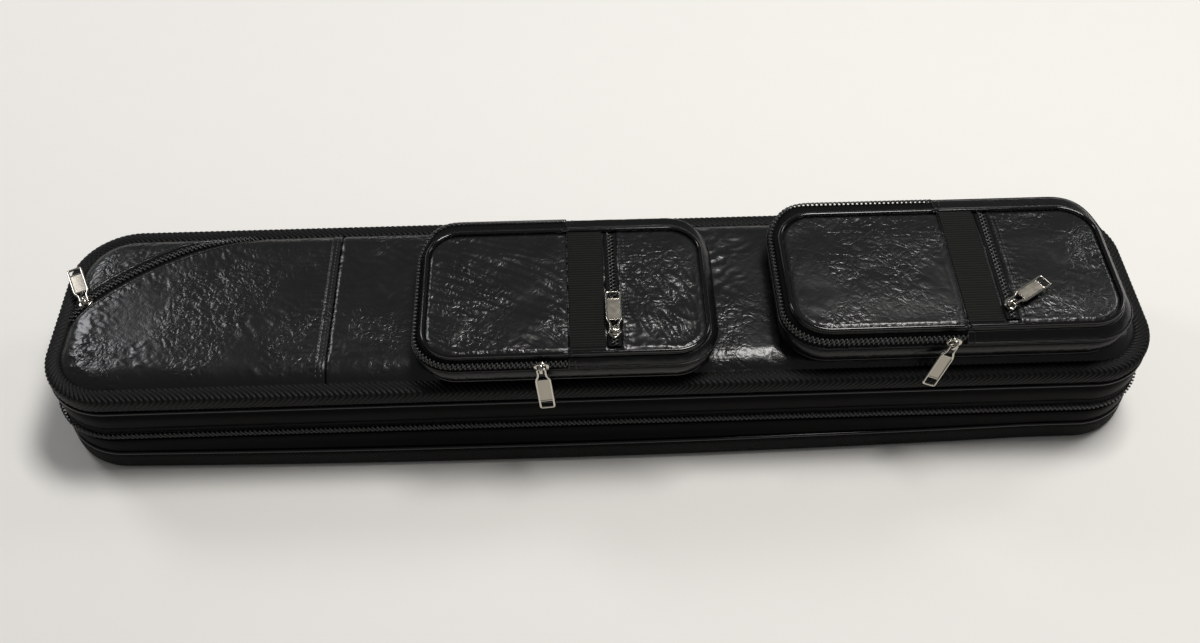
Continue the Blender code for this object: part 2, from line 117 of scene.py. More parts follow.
def noise(x, y, seed):
    """Gradient noise, about -0.7 to 0.7: each corner of a unit lattice has a seeded slope, and the four
    slopes round a point are blended by 6t^5 - 15t^4 + 10t^3."""
    slopes = np.random.default_rng(seed).uniform(0, 2 * np.pi, (128, 128))
    cell_x, cell_y = np.floor(x).astype(int), np.floor(y).astype(int)
    u, v = x - cell_x, y - cell_y

    def corner(i, j):
        angle = slopes[(cell_x + i) % 128, (cell_y + j) % 128]
        return np.cos(angle) * (u - i) + np.sin(angle) * (v - j)

    blend_u = u**3 * (u * (6 * u - 15) + 10)
    blend_v = v**3 * (v * (6 * v - 15) + 10)
    low = corner(0, 0) * (1 - blend_u) + corner(1, 0) * blend_u
    high = corner(0, 1) * (1 - blend_u) + corner(1, 1) * blend_u
    return low * (1 - blend_v) + high * blend_v


def crinkle(x, y, seed, coarse=1.0, fine=1.0, size=1.0, turn=0.0, stretch=1.0):
    """Heights of crumpled coated cloth: a slow swell, then two layers of folds in patches, on coordinates
    bent by slower noise. Ridges, -sqrt(n^2 + a), stand where the coarse noise n is 0, and creases,
    +sqrt(n^2 + b), where the fine one is. Folds run along `turn`."""
    across = np.cos(turn) * x + np.sin(turn) * y
    along = (-np.sin(turn) * x + np.cos(turn) * y) / stretch
    bend_x = across + 0.006 * size * noise(x / 0.024, y / 0.024, seed + 1)
    bend_y = along + 0.006 * size * noise(x / 0.024, y / 0.024, seed + 2)
    swell = noise(x / 0.045, y / 0.040, seed + 3)
    big = noise(bend_x / (0.012 * size), bend_y / (0.012 * size), seed + 4)
    small = noise(bend_x / (0.0058 * size), bend_y / (0.0058 * size), seed + 5)
    mask = 0.25 + 1.0 * smooth(-0.25, 0.35, noise(x / 0.038, y / 0.033, seed + 6))
    folds = -np.sqrt(big**2 + 0.0009) * 1.5 * MM + np.sqrt(small**2 + 0.0016) * 0.55 * MM * fine
    return coarse * (1.25 * MM * swell + mask * folds)


# ---- Shapes ----
def together(*columns):
    """Points from their coordinates, which broadcast."""
    return np.stack(np.broadcast_arrays(*columns), -1)


def trace(shape, start_x, s):
    """Centres and outward normals of a rounded rectangle at distances s along it, counter-clockwise
    from x = start_x on its back side. A point at offset d is centre + (radius + d) * normal. Both the
    centre and the normal's angle are piecewise linear in s: one moves on a side, the other in a corner."""
    (middle_x, middle_y), (half_x, half_y), radius = shape
    flat_x, flat_y, turn = half_x - radius, half_y - radius, radius * math.pi / 2
    start = start_x - middle_x
    runs = [flat_x + start, turn, 2 * flat_y, turn, 2 * flat_x, turn, 2 * flat_y, turn, flat_x - start]
    ends = np.concatenate([[0], np.cumsum(runs)])
    angle = np.interp(s, ends, np.array([1, 1, 2, 2, 3, 3, 4, 4, 5, 5]) * math.pi / 2)
    left, right = -flat_x, flat_x
    x = np.interp(s, ends, [start, left, left, left, left, right, right, right, right, start])
    y = np.interp(s, ends, [flat_y, flat_y, flat_y, -flat_y, -flat_y, -flat_y, -flat_y, flat_y, flat_y, flat_y])
    centre = np.stack([x + middle_x, y + middle_y], -1)
    return centre, np.stack([np.cos(angle), np.sin(angle)], -1)


def girth(shape):
    """The length round a rounded rectangle."""
    _, (half_x, half_y), radius = shape
    return 4 * (half_x + half_y - 2 * radius) + 2 * math.pi * radius


def length_to(shape, start_x, end_x):
    """The distance along trace from start_x on the back side to end_x on the front side."""
    (middle_x, _), (half_x, half_y), radius = shape
    flats = (start_x - middle_x) + (end_x - middle_x) + 2 * (half_x - radius)
    return flats + math.pi * radius + 2 * (half_y - radius)


def case_ring(s, offset, z):
    """Points on the case's outline at distances s, moved out by offset, at height z (arrays that broadcast).
    Below the zipper the front bows outwards: 1 - ((x + 0.04) / 0.374)^2 times the bow, fading upwards."""
    centre, normal = trace(CASE, 0.0, s)
    shape = np.broadcast(s, offset, z).shape
    reach = np.broadcast_to(CORNER + offset, shape)
    x = centre[..., 0] + reach * normal[..., 0]
    y = centre[..., 1] + reach * normal[..., 1]
    bulge = np.clip(1 - ((x + 0.04) / 0.374) ** 2, 0, 1) * np.clip(-normal[..., 1], 0, 1)
    y = y - BASE_BOW * bulge * (1 - smooth(0.015, 0.030, z))
    return np.stack([x, y, np.broadcast_to(z, shape)], -1)


def pocket_ring(pocket, s, share, offset, z):
    """Points on a pocket's outline. Each share's own outline is followed at the same fraction of its
    length as s is of the widest one's, so that rings line up; offset moves a point outwards. The back
    wall swells out and up, most at the zipper: pocket["back"] times a tent in z, faded by the normal's y."""
    shape = np.broadcast(s, share, offset, z).shape
    s, share, offset, z = (np.broadcast_to(a, shape) for a in (s, share, offset, z))
    wide, face = pocket["outer"], pocket["face"]
    hinge = pocket["hinge_x"]
    centre_0, normal_0 = trace(wide, hinge, s)
    half_wide, half_face = length_to(wide, hinge, hinge), length_to(face, hinge, hinge)
    turned = np.where(
        s < half_wide,
        s * half_face / half_wide,
        half_face + (s - half_wide) * (girth(face) - half_face) / (girth(wide) - half_wide),
    )
    centre_1, normal_1 = trace(face, hinge, turned)
    outer = centre_0 + (wide[2] + offset)[..., None] * normal_0
    inner = centre_1 + (face[2] + offset)[..., None] * normal_1
    flat = outer * (1 - share[..., None]) + inner * share[..., None]
    full = np.interp(z, [FLANGE_Z + 0.002, pocket["zip_z"], pocket["top"] - 0.0004], [0, 1, 0])
    full = full * smooth(0.2, 0.95, normal_0[..., 1])
    out, up = pocket["back"]
    return np.stack([flat[..., 0], flat[..., 1] + out * full, z + up * full], -1)


def spaced(points, count):
    """Points evenly spaced along a polyline, as many as count."""
    points = np.asarray(points, float)
    steps = np.linalg.norm(np.diff(points, axis=0), axis=1)
    along = np.concatenate([[0], np.cumsum(steps)])
    at = np.linspace(0, along[-1], count)
    return np.stack([np.interp(at, along, column) for column in points.T], -1), at


def rounded_profile(points, count, softness=3):
    """A polyline evenly resampled, with its corners softened by averaging each point with its neighbours."""
    line, _ = spaced(points, count)
    for _ in range(softness):
        line[1:-1] = (line[:-2] + 2 * line[1:-1] + line[2:]) / 4
    return line


def tangents(path, closed=False):
    """Unit directions along a path of points."""
    if closed:
        along = np.roll(path, -1, 0) - np.roll(path, 1, 0)
    else:
        along = np.gradient(path, axis=0)
    return along / np.linalg.norm(along, axis=1, keepdims=True)


def tube(path, radius, sides=8, closed=False, up=(0, 0, 1), squareness=0.0):
    """A round section carried along a path: centre + radius (1 + squareness |sin 2a|) (cos a * side +
    sin a * above), where side is perpendicular to the path and to up. radius may change along the path."""
    along = tangents(path, closed)
    side = np.cross(along, np.asarray(up, float))
    side /= np.maximum(np.linalg.norm(side, axis=1, keepdims=True), 1e-9)
    above = np.cross(side, along)
    angle = 2 * np.pi * np.arange(sides) / sides
    stretch = 1 + squareness * np.abs(np.sin(2 * angle))
    radius = np.broadcast_to(radius, (len(path),))
    c, s = np.cos(angle) * stretch, np.sin(angle) * stretch
    ring = c[None, :, None] * side[:, None] + s[None, :, None] * above[:, None]
    return path[:, None] + radius[:, None, None] * ring


class Piece:
    """Collects grids of points into one mesh, each with its own finish, then hands it to a body."""

    def __init__(self, name):
        self.name = name
        self.points, self.quads, self.uvs, self.slots, self.finishes = [], [], [], [], []
        self.count = 0

    def grid(self, points, finish, away=None, around=False, across=False, u=None, v=None, caps=False):
        """Adds a grid. It closes on itself along its first axis if around and along its second if across.
        Faces are turned to look away from the points `away`; u and v are the distances for the UV map."""
        points = np.asarray(points, float)
        if caps:
            middle = points.mean(1, keepdims=True)
            first, last = (np.repeat(end, points.shape[1], 1) for end in (middle[:1], middle[-1:]))
            if away is not None:
                away = np.broadcast_to(away, points.shape)
                away = np.concatenate([away[:1], away, away[-1:]])
            points = np.concatenate([first, points, last])
            if u is not None:
                u = np.concatenate([[u[0]], u, [u[-1]]])
        rows, columns = points.shape[:2]
        i = np.arange(rows if around else rows - 1)[:, None]
        j = np.arange(columns if across else columns - 1)[None, :]
        next_i, next_j = (i + 1) % rows, (j + 1) % columns
        corners = [i * columns + j, next_i * columns + j, next_i * columns + next_j, i * columns + next_j]
        shape = np.broadcast_shapes(i.shape, j.shape)
        quads = np.stack([np.broadcast_to(c, shape) for c in corners], -1).reshape(-1, 4)
        if u is None:
            u = np.arange(rows + 1) * MM
        if v is None:
            v = np.arange(columns + 1) * MM
        v = np.append(v, 2 * v[-1] - v[-2]) if len(v) == columns and across else np.asarray(v)
        if np.ndim(u) == 1:
            u = np.append(u, 2 * u[-1] - u[-2]) if len(u) == rows and around else np.asarray(u)
            u = np.broadcast_to(u[:, None], (len(u), columns + 1))
        uv = [
            together(u[i + a, j + b], v[j + b])
            for a, b in ((0, 0), (1, 0), (1, 1), (0, 1))
        ]
        uv = np.stack(uv, -2).reshape(-1, 4, 2)
        flat = points.reshape(-1, 3)
        if away is not None:
            inside = np.broadcast_to(away, points.shape).reshape(-1, 3)
            a, b, c, d = (flat[quads[:, k]] for k in range(4))
            facing = np.cross(c - a, d - b)
            outwards = (a + b + c + d) / 4 - inside[quads].mean(1)
            if (facing * outwards).sum() < 0:
                quads, uv = quads[:, ::-1], uv[:, ::-1]
        if finish not in self.finishes:
            self.finishes.append(finish)
        self.points.append(flat)
        self.quads.append(quads + self.count)
        self.uvs.append(uv)
        self.slots.append(np.full(len(quads), self.finishes.index(finish)))
        self.count += len(flat)
        return self

    def shell(self, points, finish, **grid):
        """Adds a grid of closed rings that face away from their own middles."""
        return self.grid(points, finish, away=points.mean(1, keepdims=True), across=True, **grid)

    def tube(self, path, radius, finish, closed=False, **shape):
        """Adds the tube along a path, with closed ends unless the path is a loop."""
        path = np.asarray(path, float)
        steps = np.linalg.norm(np.diff(path, axis=0), axis=1)
        u = np.concatenate([[0], np.cumsum(steps)])
        points = tube(path, radius, closed=closed, **shape)
        return self.grid(points, finish, away=path[:, None], around=closed, across=True, u=u, caps=not closed)

    def copies(self, points, quads, matrices, finish):
        """Adds one small mesh many times: every matrix is a 3x4 array that turns and places it."""
        turned = np.einsum("kij,nj->kni", matrices[:, :, :3], points) + matrices[:, None, :, 3]
        every = quads[None] + (np.arange(len(matrices)) * len(points))[:, None, None]
        if finish not in self.finishes:
            self.finishes.append(finish)
        every = every.reshape(-1, 4)
        self.points.append(turned.reshape(-1, 3))
        self.quads.append(every + self.count)
        self.uvs.append(np.zeros((len(every), 4, 2)))
        self.slots.append(np.full(len(every), self.finishes.index(finish)))
        self.count += turned.shape[0] * turned.shape[1]
        return self

    def build(self, body=None, nodes=(), slot="leatherette", padded=None, blend=None):
        """Makes the mesh, closes its seams and poles, and gives it to its body; slot is not used."""
        points, quads = np.concatenate(self.points), np.concatenate(self.quads)
        mesh = bpy.data.meshes.new(self.name)
        mesh.vertices.add(len(points))
        mesh.vertices.foreach_set("co", points.astype(np.float32).ravel())
        mesh.loops.add(quads.size)
        mesh.loops.foreach_set("vertex_index", quads.astype(np.int32).ravel())
        mesh.polygons.add(len(quads))
        mesh.polygons.foreach_set("loop_start", np.arange(0, quads.size, 4, dtype=np.int32))
        mesh.polygons.foreach_set("material_index", np.concatenate(self.slots).astype(np.int32))
        layer = mesh.uv_layers.new(name="cloth")
        layer.data.foreach_set("uv", np.concatenate(self.uvs).astype(np.float32).ravel())
        for finish in self.finishes:
            mesh.materials.append(FINISHES[finish])
        mesh.update(calc_edges=True)
        tidy = bmesh.new()
        tidy.from_mesh(mesh)
        bmesh.ops.remove_doubles(tidy, verts=tidy.verts, dist=WELD)
        bmesh.ops.dissolve_degenerate(tidy, edges=tidy.edges, dist=WELD / 10)
        tidy.to_mesh(mesh)
        tidy.free()
        mesh.shade_smooth()
        obj = bpy.data.objects.new(self.name, mesh)
        bpy.context.scene.collection.objects.link(obj)
        if blend:
            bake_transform(obj)
        else:
            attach(obj, body)
        if nodes:
            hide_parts(*nodes)
        return obj


# ---- Finishes ----
FINISHES = {}
WAVE = 0.314  # a wave texture's bands are this far apart at scale 1


def add(tree, kind, inputs=None, **settings):
    """Adds a node. settings are its own properties; inputs gives each socket a value or another's output."""
    node = tree.nodes.new(kind)
    for key, value in settings.items():
        setattr(node, key, value)
    for key, value in (inputs or {}).items():
        if isinstance(value, bpy.types.NodeSocket):
            tree.links.new(value, node.inputs[key])
        else:
            node.inputs[key].default_value = value
    return node


def finish(name, colour, roughness, **sockets):
    """A new material on the principled shader. Returns its tree and its shader."""
    material = bpy.data.materials.new(name)
    material.use_nodes = True
    FINISHES[name] = material
    tree = material.node_tree
    shader = tree.nodes["Principled BSDF"]
    shader.inputs["Base Color"].default_value = linear(colour)
    shader.inputs["Roughness"].default_value = roughness
    for key, value in sockets.items():
        shader.inputs[key.replace("_", " ")].default_value = value
    return tree, shader


def bump(tree, height, distance, strength=1.0, normal=None):
    """A bump of that height in metres, over another bump's normal if one is given."""
    inputs = {"Height": height, "Distance": distance, "Strength": strength}
    if normal is not None:
        inputs["Normal"] = normal
    return add(tree, "ShaderNodeBump", inputs).outputs["Normal"]


def blended(tree, factor, low, high):
    """A colour between two hex colours."""
    mix = add(tree, "ShaderNodeMix", {"Factor": factor}, data_type="RGBA")
    mix.inputs["A"].default_value = linear(low)
    mix.inputs["B"].default_value = linear(high)
    return mix.outputs["Result"]


def between(tree, value, low, high):
    """A value from 0..1 brought to low..high."""
    return add(tree, "ShaderNodeMapRange", {"Value": value, "To Min": low, "To Max": high}).outputs["Result"]


def make_leatherette(name, colour, worn, roughness, crease, grain, level):
    """Polyurethane-coated cloth, black and glossy, embossed with a pebble grain of 700 cells per metre.
    Handling has left two webs of sunk creases round cells of 3 and 7 mm, on bent coordinates and stronger
    in patches, so that each cell's rounded edge catches a thin highlight."""
    tree, shader = finish(name, colour, roughness[0], Specular_IOR_Level=level)
    place = add(tree, "ShaderNodeTexCoord").outputs["Object"]
    pebble = add(tree, "ShaderNodeTexVoronoi", {"Vector": place, "Scale": 700.0}).outputs["Distance"]
    cloudy = {"Vector": place, "Scale": 34.0, "Detail": 3.0, "Roughness": 0.6, "Distortion": 0.4}
    cloud = add(tree, "ShaderNodeTexNoise", cloudy).outputs["Fac"]
    drift = add(tree, "ShaderNodeTexNoise", {"Vector": place, "Scale": 85.0, "Detail": 2.0}).outputs["Color"]
    bent = {0: drift, 1: (0.011, 0.011, 0.0), 2: place}
    bent = add(tree, "ShaderNodeVectorMath", bent, operation="MULTIPLY_ADD").outputs["Vector"]
    patches = add(tree, "ShaderNodeTexNoise", {"Vector": place, "Scale": 19.0, "Detail": 1.0}).outputs["Fac"]
    patches = {"Value": patches, "From Min": 0.42, "From Max": 0.62, "To Min": 0.15}
    patches = add(tree, "ShaderNodeMapRange", patches)
    normal = bump(tree, pebble, 0.02 * MM * grain)
    for scale, depth in ((330.0, 0.09), (150.0, 0.23)):
        web = add(tree, "ShaderNodeTexVoronoi", {"Vector": bent, "Scale": scale}, feature="DISTANCE_TO_EDGE")
        line = {"Value": web.outputs["Distance"], "From Max": 0.30}
        line = add(tree, "ShaderNodeMapRange", line, interpolation_type="SMOOTHSTEP").outputs["Result"]
        masked = {0: line, 1: patches.outputs["Result"]}
        masked = add(tree, "ShaderNodeMath", masked, operation="MULTIPLY").outputs[0]
        normal = bump(tree, masked, depth * MM * crease, normal=normal)
    tree.links.new(normal, shader.inputs["Normal"])
    tree.links.new(blended(tree, cloud, colour, worn), shader.inputs["Base Color"])
    tree.links.new(between(tree, cloud, *roughness), shader.inputs["Roughness"])


def make_cloth(name, colour, thread_highlight, roughness, pitch, turn, depth, sheen):
    """Woven matt yarn: threads `pitch` apart, at `turn` to the piece's length, as bands with painted shade in the
    gaps and a painted highlight on the threads, and a little fuzz. A nap gives a pale sheen where sheen is above
    0."""
    matt = {"Sheen_Weight": sheen, "Sheen_Roughness": 0.4, "Specular_IOR_Level": 0.12}
    tree, shader = finish(name, colour, roughness, **matt)
    place = add(tree, "ShaderNodeUVMap", uv_map="cloth").outputs["UV"]
    turned = add(tree, "ShaderNodeMapping", {"Vector": place, "Rotation": (0, 0, turn)}).outputs["Vector"]
    thread = add(tree, "ShaderNodeTexWave", {"Vector": turned, "Scale": WAVE / pitch}).outputs["Fac"]
    fuzz = add(tree, "ShaderNodeTexNoise", {"Vector": place, "Scale": 1600.0, "Detail": 2.0}).outputs["Fac"]
    normal = bump(tree, fuzz, 0.05 * MM)
    normal = bump(tree, thread, depth, normal=normal)
    tree.links.new(normal, shader.inputs["Normal"])
    # Base colour: painted shade in the gaps between threads, painted highlight on the threads.
    tree.links.new(blended(tree, thread, colour, thread_highlight), shader.inputs["Base Color"])


def make_twill(name, groove_shade, crest_highlight, roughness):
    """Herringbone binding of black yarn: thick diagonal ribs with grooves between them. The ribs are in the mesh
    too; here the colour is painted shade in the grooves and a painted highlight, greyer, on the crests, and fine
    threads cross them."""
    tree, shader = finish(name, groove_shade, roughness, Specular_IOR_Level=0.16)
    place = add(tree, "ShaderNodeUVMap", uv_map="cloth").outputs["UV"]
    rib = add(tree, "ShaderNodeTexWave", {"Vector": place, "Scale": WAVE / RIB}).outputs["Fac"]
    across = {"Vector": place, "Scale": WAVE / (1.3 * MM), "Distortion": 1.5}
    thread = add(tree, "ShaderNodeTexWave", across, bands_direction="DIAGONAL").outputs["Fac"]
    normal = bump(tree, rib, 0.35 * MM)
    normal = bump(tree, thread, 0.10 * MM, normal=normal)
    tree.links.new(normal, shader.inputs["Normal"])
    # Base colour: painted shade in the grooves, painted highlight on the rib crests.
    tree.links.new(blended(tree, rib, groove_shade, crest_highlight), shader.inputs["Base Color"])


def make_nickel(name, colour, roughness, brushed):
    """Zinc castings plated with bright nickel. The flat of a pull is brushed along its length."""
    tree, shader = finish(name, colour, roughness, Metallic=1.0)
    place = add(tree, "ShaderNodeTexCoord").outputs["Object"]
    cloud = add(tree, "ShaderNodeTexNoise", {"Vector": place, "Scale": 260.0, "Detail": 3.0}).outputs["Fac"]
    tree.links.new(between(tree, cloud, roughness * 0.75, roughness * 1.35), shader.inputs["Roughness"])
    lines = add(tree, "ShaderNodeUVMap", uv_map="cloth").outputs["UV"]
    stretched = add(tree, "ShaderNodeMapping", {"Vector": lines, "Scale": (60.0, 5200.0, 1.0)}).outputs["Vector"]
    scratch = add(tree, "ShaderNodeTexNoise", {"Vector": stretched, "Scale": 1.0, "Detail": 2.0}).outputs["Fac"]
    tree.links.new(bump(tree, scratch, brushed), shader.inputs["Normal"])


def make_plain(name, colour, worn, roughness, scale, depth, **sockets):
    """A plain moulded, sewn or foamed surface with one fine texture `scale` per metre."""
    tree, shader = finish(name, colour, roughness, **sockets)
    place = add(tree, "ShaderNodeTexCoord").outputs["Object"]
    speck = add(tree, "ShaderNodeTexNoise", {"Vector": place, "Scale": scale, "Detail": 4.0}).outputs["Fac"]
    tree.links.new(bump(tree, speck, depth), shader.inputs["Normal"])
    tree.links.new(blended(tree, speck, colour, worn), shader.inputs["Base Color"])


def make_finishes():
    """Every finish of the case."""
    make_leatherette("crumpled_leatherette", "#080909", "#101111", (0.22, 0.34), 1.0, 1.0, 0.52)
    make_leatherette("wall_leatherette", "#050505", "#0A0A0A", (0.40, 0.52), 0.10, 0.6, 0.05)
    make_leatherette("gusset_leatherette", "#070808", "#0D0E0E", (0.24, 0.36), 0.6, 0.8, 0.32)
    make_plain("welt_piping", "#070707", "#0C0C0C", 0.09, 900.0, 0.02 * MM, Specular_IOR_Level=0.5)
    # The binding's first colour is painted shade in the grooves, the second a painted highlight on the rib crests.
    make_twill("binding_twill", "#010101", "#131413", 0.55)
    # For each cloth the first colour is painted shade in the gaps, the second a painted highlight on the threads.
    make_cloth("ribbed_webbing", "#010101", "#171815", 0.58, WEBBING_RIB, 0.0, 0.15 * MM, 0.0)
    make_cloth("zipper_tape", "#030303", "#0A0A0A", 0.60, 1.4 * MM, 0.0, 0.06 * MM, 0.0)
    make_cloth("lining_cloth", "#1C1C1E", "#2A2A2D", 0.85, 1.2 * MM, math.radians(30), 0.08 * MM, 0.4)
    make_plain("nylon_coil", "#2C2D2C", "#3A3B3A", 0.30, 700.0, 0.0, Specular_IOR_Level=0.6)
    make_plain("bonded_thread", "#2C2D2C", "#3A3B3A", 0.45, 2500.0, 0.05 * MM, Specular_IOR_Level=0.5)
    make_nickel("polished_nickel", "#C4BFB5", 0.16, 0.0)
    make_nickel("brushed_nickel", "#A7A196", 0.30, 0.03 * MM)
    make_plain("cradle_foam", "#1D1D1F", "#29292B", 0.95, 1400.0, 0.35 * MM, Sheen_Weight=0.1)
    make_plain("base_board", "#101011", "#18181A", 0.6, 420.0, 0.10 * MM, Specular_IOR_Level=0.3)


# ---- Small repeated shapes ----
def capsule(length, radius):
    """A stitch: a small ellipsoid, five rings of six points, along its own X axis."""
    along = np.array([-1.0, -0.7, 0.0, 0.7, 1.0])[:, None]
    round_it = np.sqrt(np.clip(1 - along**2, 1e-4, 1))
    angle = 2 * np.pi * np.arange(6) / 6
    x = along * length / 2 + 0 * angle
    points = np.stack([x, radius * round_it * np.cos(angle), radius * round_it * np.sin(angle)], -1)
    i, j = np.arange(4)[:, None], np.arange(6)[None]
    corners = [i * 6 + j, i * 6 + (j + 1) % 6, (i + 1) * 6 + (j + 1) % 6, (i + 1) * 6 + j]
    return points.reshape(-1, 3), np.stack(corners, -1).reshape(-1, 4)


def placed(path, normals, pitch):
    """3x4 placements every `pitch` along a path: X along it, Z along its normals."""
    steps = np.linalg.norm(np.diff(path, axis=0), axis=1)
    along = np.concatenate([[0], np.cumsum(steps)])
    at = np.arange(pitch / 2, along[-1], pitch)
    where = np.stack([np.interp(at, along, column) for column in path.T], -1)
    x = np.stack([np.interp(at, along, column) for column in tangents(path).T], -1)
    up = np.stack([np.interp(at, along, column) for column in np.broadcast_to(normals, path.shape).T], -1)
    x /= np.linalg.norm(x, axis=1, keepdims=True)
    y = np.cross(up, x)
    y /= np.linalg.norm(y, axis=1, keepdims=True)
    return np.stack([x, y, np.cross(x, y), where], -1)


def stitches(piece, path, normals, pitch=STITCH_PITCH, length=2.6 * MM, radius=0.45 * MM):
    """A row of stitches: one capsule every pitch along a path."""
    points, quads = capsule(length, radius)
    piece.copies(points, quads, placed(np.asarray(path, float), normals, pitch), "bonded_thread")


def coil(piece, path, across, way, reach=1.6 * MM, height=0.9 * MM, wire=0.60 * MM, up=None):
    """One half of a nylon coil zipper: a flattened spiral. Along the path it advances one pitch a turn,
    while it goes reach cos(t) across the tape, towards `way`, and height sin(t) off it."""
    steps = np.linalg.norm(np.diff(path, axis=0), axis=1)
    along = np.concatenate([[0], np.cumsum(steps)])
    turns = int(along[-1] / COIL_PITCH)
    t = np.linspace(0, turns, turns * 9 + 1)
    at = t * COIL_PITCH + (COIL_PITCH / 2 if way > 0 else 0)
    at = np.clip(at, 0, along[-1])
    middle = np.stack([np.interp(at, along, column) for column in path.T], -1)
    forward = np.stack([np.interp(at, along, column) for column in tangents(path).T], -1)
    side = np.stack([np.interp(at, along, column) for column in across.T], -1)
    side /= np.linalg.norm(side, axis=1, keepdims=True)
    out = np.cross(forward, side)
    out /= np.linalg.norm(out, axis=1, keepdims=True)
    angle = 2 * np.pi * t[:, None]
    centre = middle + way * 0.95 * MM * side
    spiral = centre + reach * np.cos(angle) * side + height * np.sin(angle) * out
    piece.tube(spiral, wire, "nylon_coil", sides=4, up=out.mean(0) if up is None else up)
    return piece


# ---- The base ----
CASE_LENGTH = girth(CASE)
FLAT_X = LENGTH / 2 - CORNER


def case_steps(step, first=0.0, last=None):
    """Distances along the case's outline, about `step` apart, all the way round by default."""
    last = CASE_LENGTH if last is None else last
    return np.linspace(first, last, int((last - first) / step) + 1)


def case_band(piece, look, profile, step, ribs=None, count=18, wander=0.0):
    """Carries a closed profile of (offset, height) corners round the case. ribs is (pitch, height, corner,
    fade): diagonal ribs, height |sin(pi (s + |v - edge|) / pitch)|, whose slant turns over at the corner's
    share of the profile, as on a tape folded over an edge. fade(offset, height) scales them."""
    s = case_steps(step)[:-1]
    line = rounded_profile(profile + profile[:1], count, softness=2)[:-1]
    v = np.concatenate([[0], np.cumsum(np.linalg.norm(np.diff(line, axis=0), axis=1))])
    around = np.roll(line, -1, 0) - np.roll(line, 1, 0)
    outwards = np.stack([around[:, 1], -around[:, 0]], -1)
    outwards /= np.linalg.norm(outwards, axis=1, keepdims=True)
    if np.sum(outwards[:, 0] * (line[:, 0] - line[:, 0].mean())) < 0:
        outwards = -outwards
    lift = np.zeros((len(s), len(line)))
    if ribs:
        pitch, height, corner, fade = ribs
        edge = v[-1] * corner
        phase = (s[:, None] + np.abs(v[None] - edge)) / pitch
        lift = height * (np.abs(np.sin(np.pi * phase)) - 0.5) * fade(line[:, 0], line[:, 1])[None]
    offset = line[None, :, 0] + lift * outwards[None, :, 0]
    z = line[None, :, 1] + lift * outwards[None, :, 1]
    if wander:
        drift = noise(s / 0.05, s * 0 + 3.3, 41) * np.sin(2 * np.pi * s / CASE_LENGTH) ** 2
        offset = offset + wander * drift[:, None]
    points = case_ring(s[:, None], offset, z)
    u = s
    if ribs:
        after = np.append(s, 2 * s[-1] - s[-2])[:, None]
        u = (after + np.abs(np.append(v, v[-1] + v[1])[None] - edge)) * (RIB / pitch)
    return piece.shell(points, look, around=True, u=u, v=v)


def case_path(step, offset, z):
    """A loop round the case at one offset and one height."""
    return case_ring(case_steps(step)[:-1], offset, z)


def side_only(offset, z):
    """1 on a band's outer side, falling to 0 within 1.7 mm of it."""
    return smooth(-0.0025, -0.0008, offset)


def top_and_side(offset, z):
    """1 above 81.5 mm, falling to 0.35 at 74 mm."""
    return 0.35 + 0.65 * smooth(0.0740, 0.0815, z)


ZIP_FROM, ZIP_TO = FLAT_X, CASE_LENGTH - FLAT_X


# Profiles of (offset, height).
LOWER_BINDING = [
    (-0.0036, 0.0004), (-0.0008, 0.0004), (0.0003, 0.0030), (0.0006, 0.0090), (0.0002, 0.0150),
    (-0.0010, 0.0172), (-0.0036, 0.0172),
]
LOWER_WALL = [
    (-0.0020, 0.0178), (-0.0008, 0.0200), (-0.0002, 0.0265), (-0.0002, 0.0320), (-0.0009, 0.0352),
    (-0.0050, 0.0352), (-0.0050, 0.0178),
]
UPPER_WALL = [
    (-0.0020, 0.0480), (-0.0006, 0.0495), (-0.0002, 0.0560), (-0.0004, 0.0620), (-0.0024, 0.0640),
    (-0.0028, 0.0665), (-0.0012, 0.0720), (-0.0050, 0.0720), (-0.0050, 0.0480),
]
UPPER_BINDING = [
    (-0.0130, 0.0815), (-0.0128, 0.0838), (-0.0085, 0.0852), (-0.0035, 0.0848), (-0.0006, 0.0832),
    (0.0002, 0.0800), (0.0000, 0.0730), (-0.0010, 0.0712), (-0.0030, 0.0712), (-0.0030, 0.0800),
    (-0.0090, 0.0815),
]
BASE_INNER = [(-0.0085, 0.0362), (-0.0087, 0.0280), (-0.0087, 0.0120), (-0.0095, 0.0065), (-0.0125, 0.0050)]
BASE_SKIRT = [(-0.0085, 0.0362), (-0.0062, 0.0362), (-0.0062, 0.0060), (-0.0062, 0.0034)]
LID_INNER = [(-0.0062, 0.0482), (-0.0085, 0.0482), (-0.0086, 0.0700), (-0.0095, 0.0775), (-0.0130, 0.0790)]


def hang_cloth(lining, profile, away):
    """Lining cloth: an open profile carried round the case. It faces away from a copy of itself that is
    `away` times as wide."""
    profile = np.array(profile)
    points = case_ring(case_steps(4 * MM)[:-1, None], profile[None, :, 0], profile[None, :, 1])
    lining.grid(points, "lining_cloth", away=points * (away, away, 1), around=True)


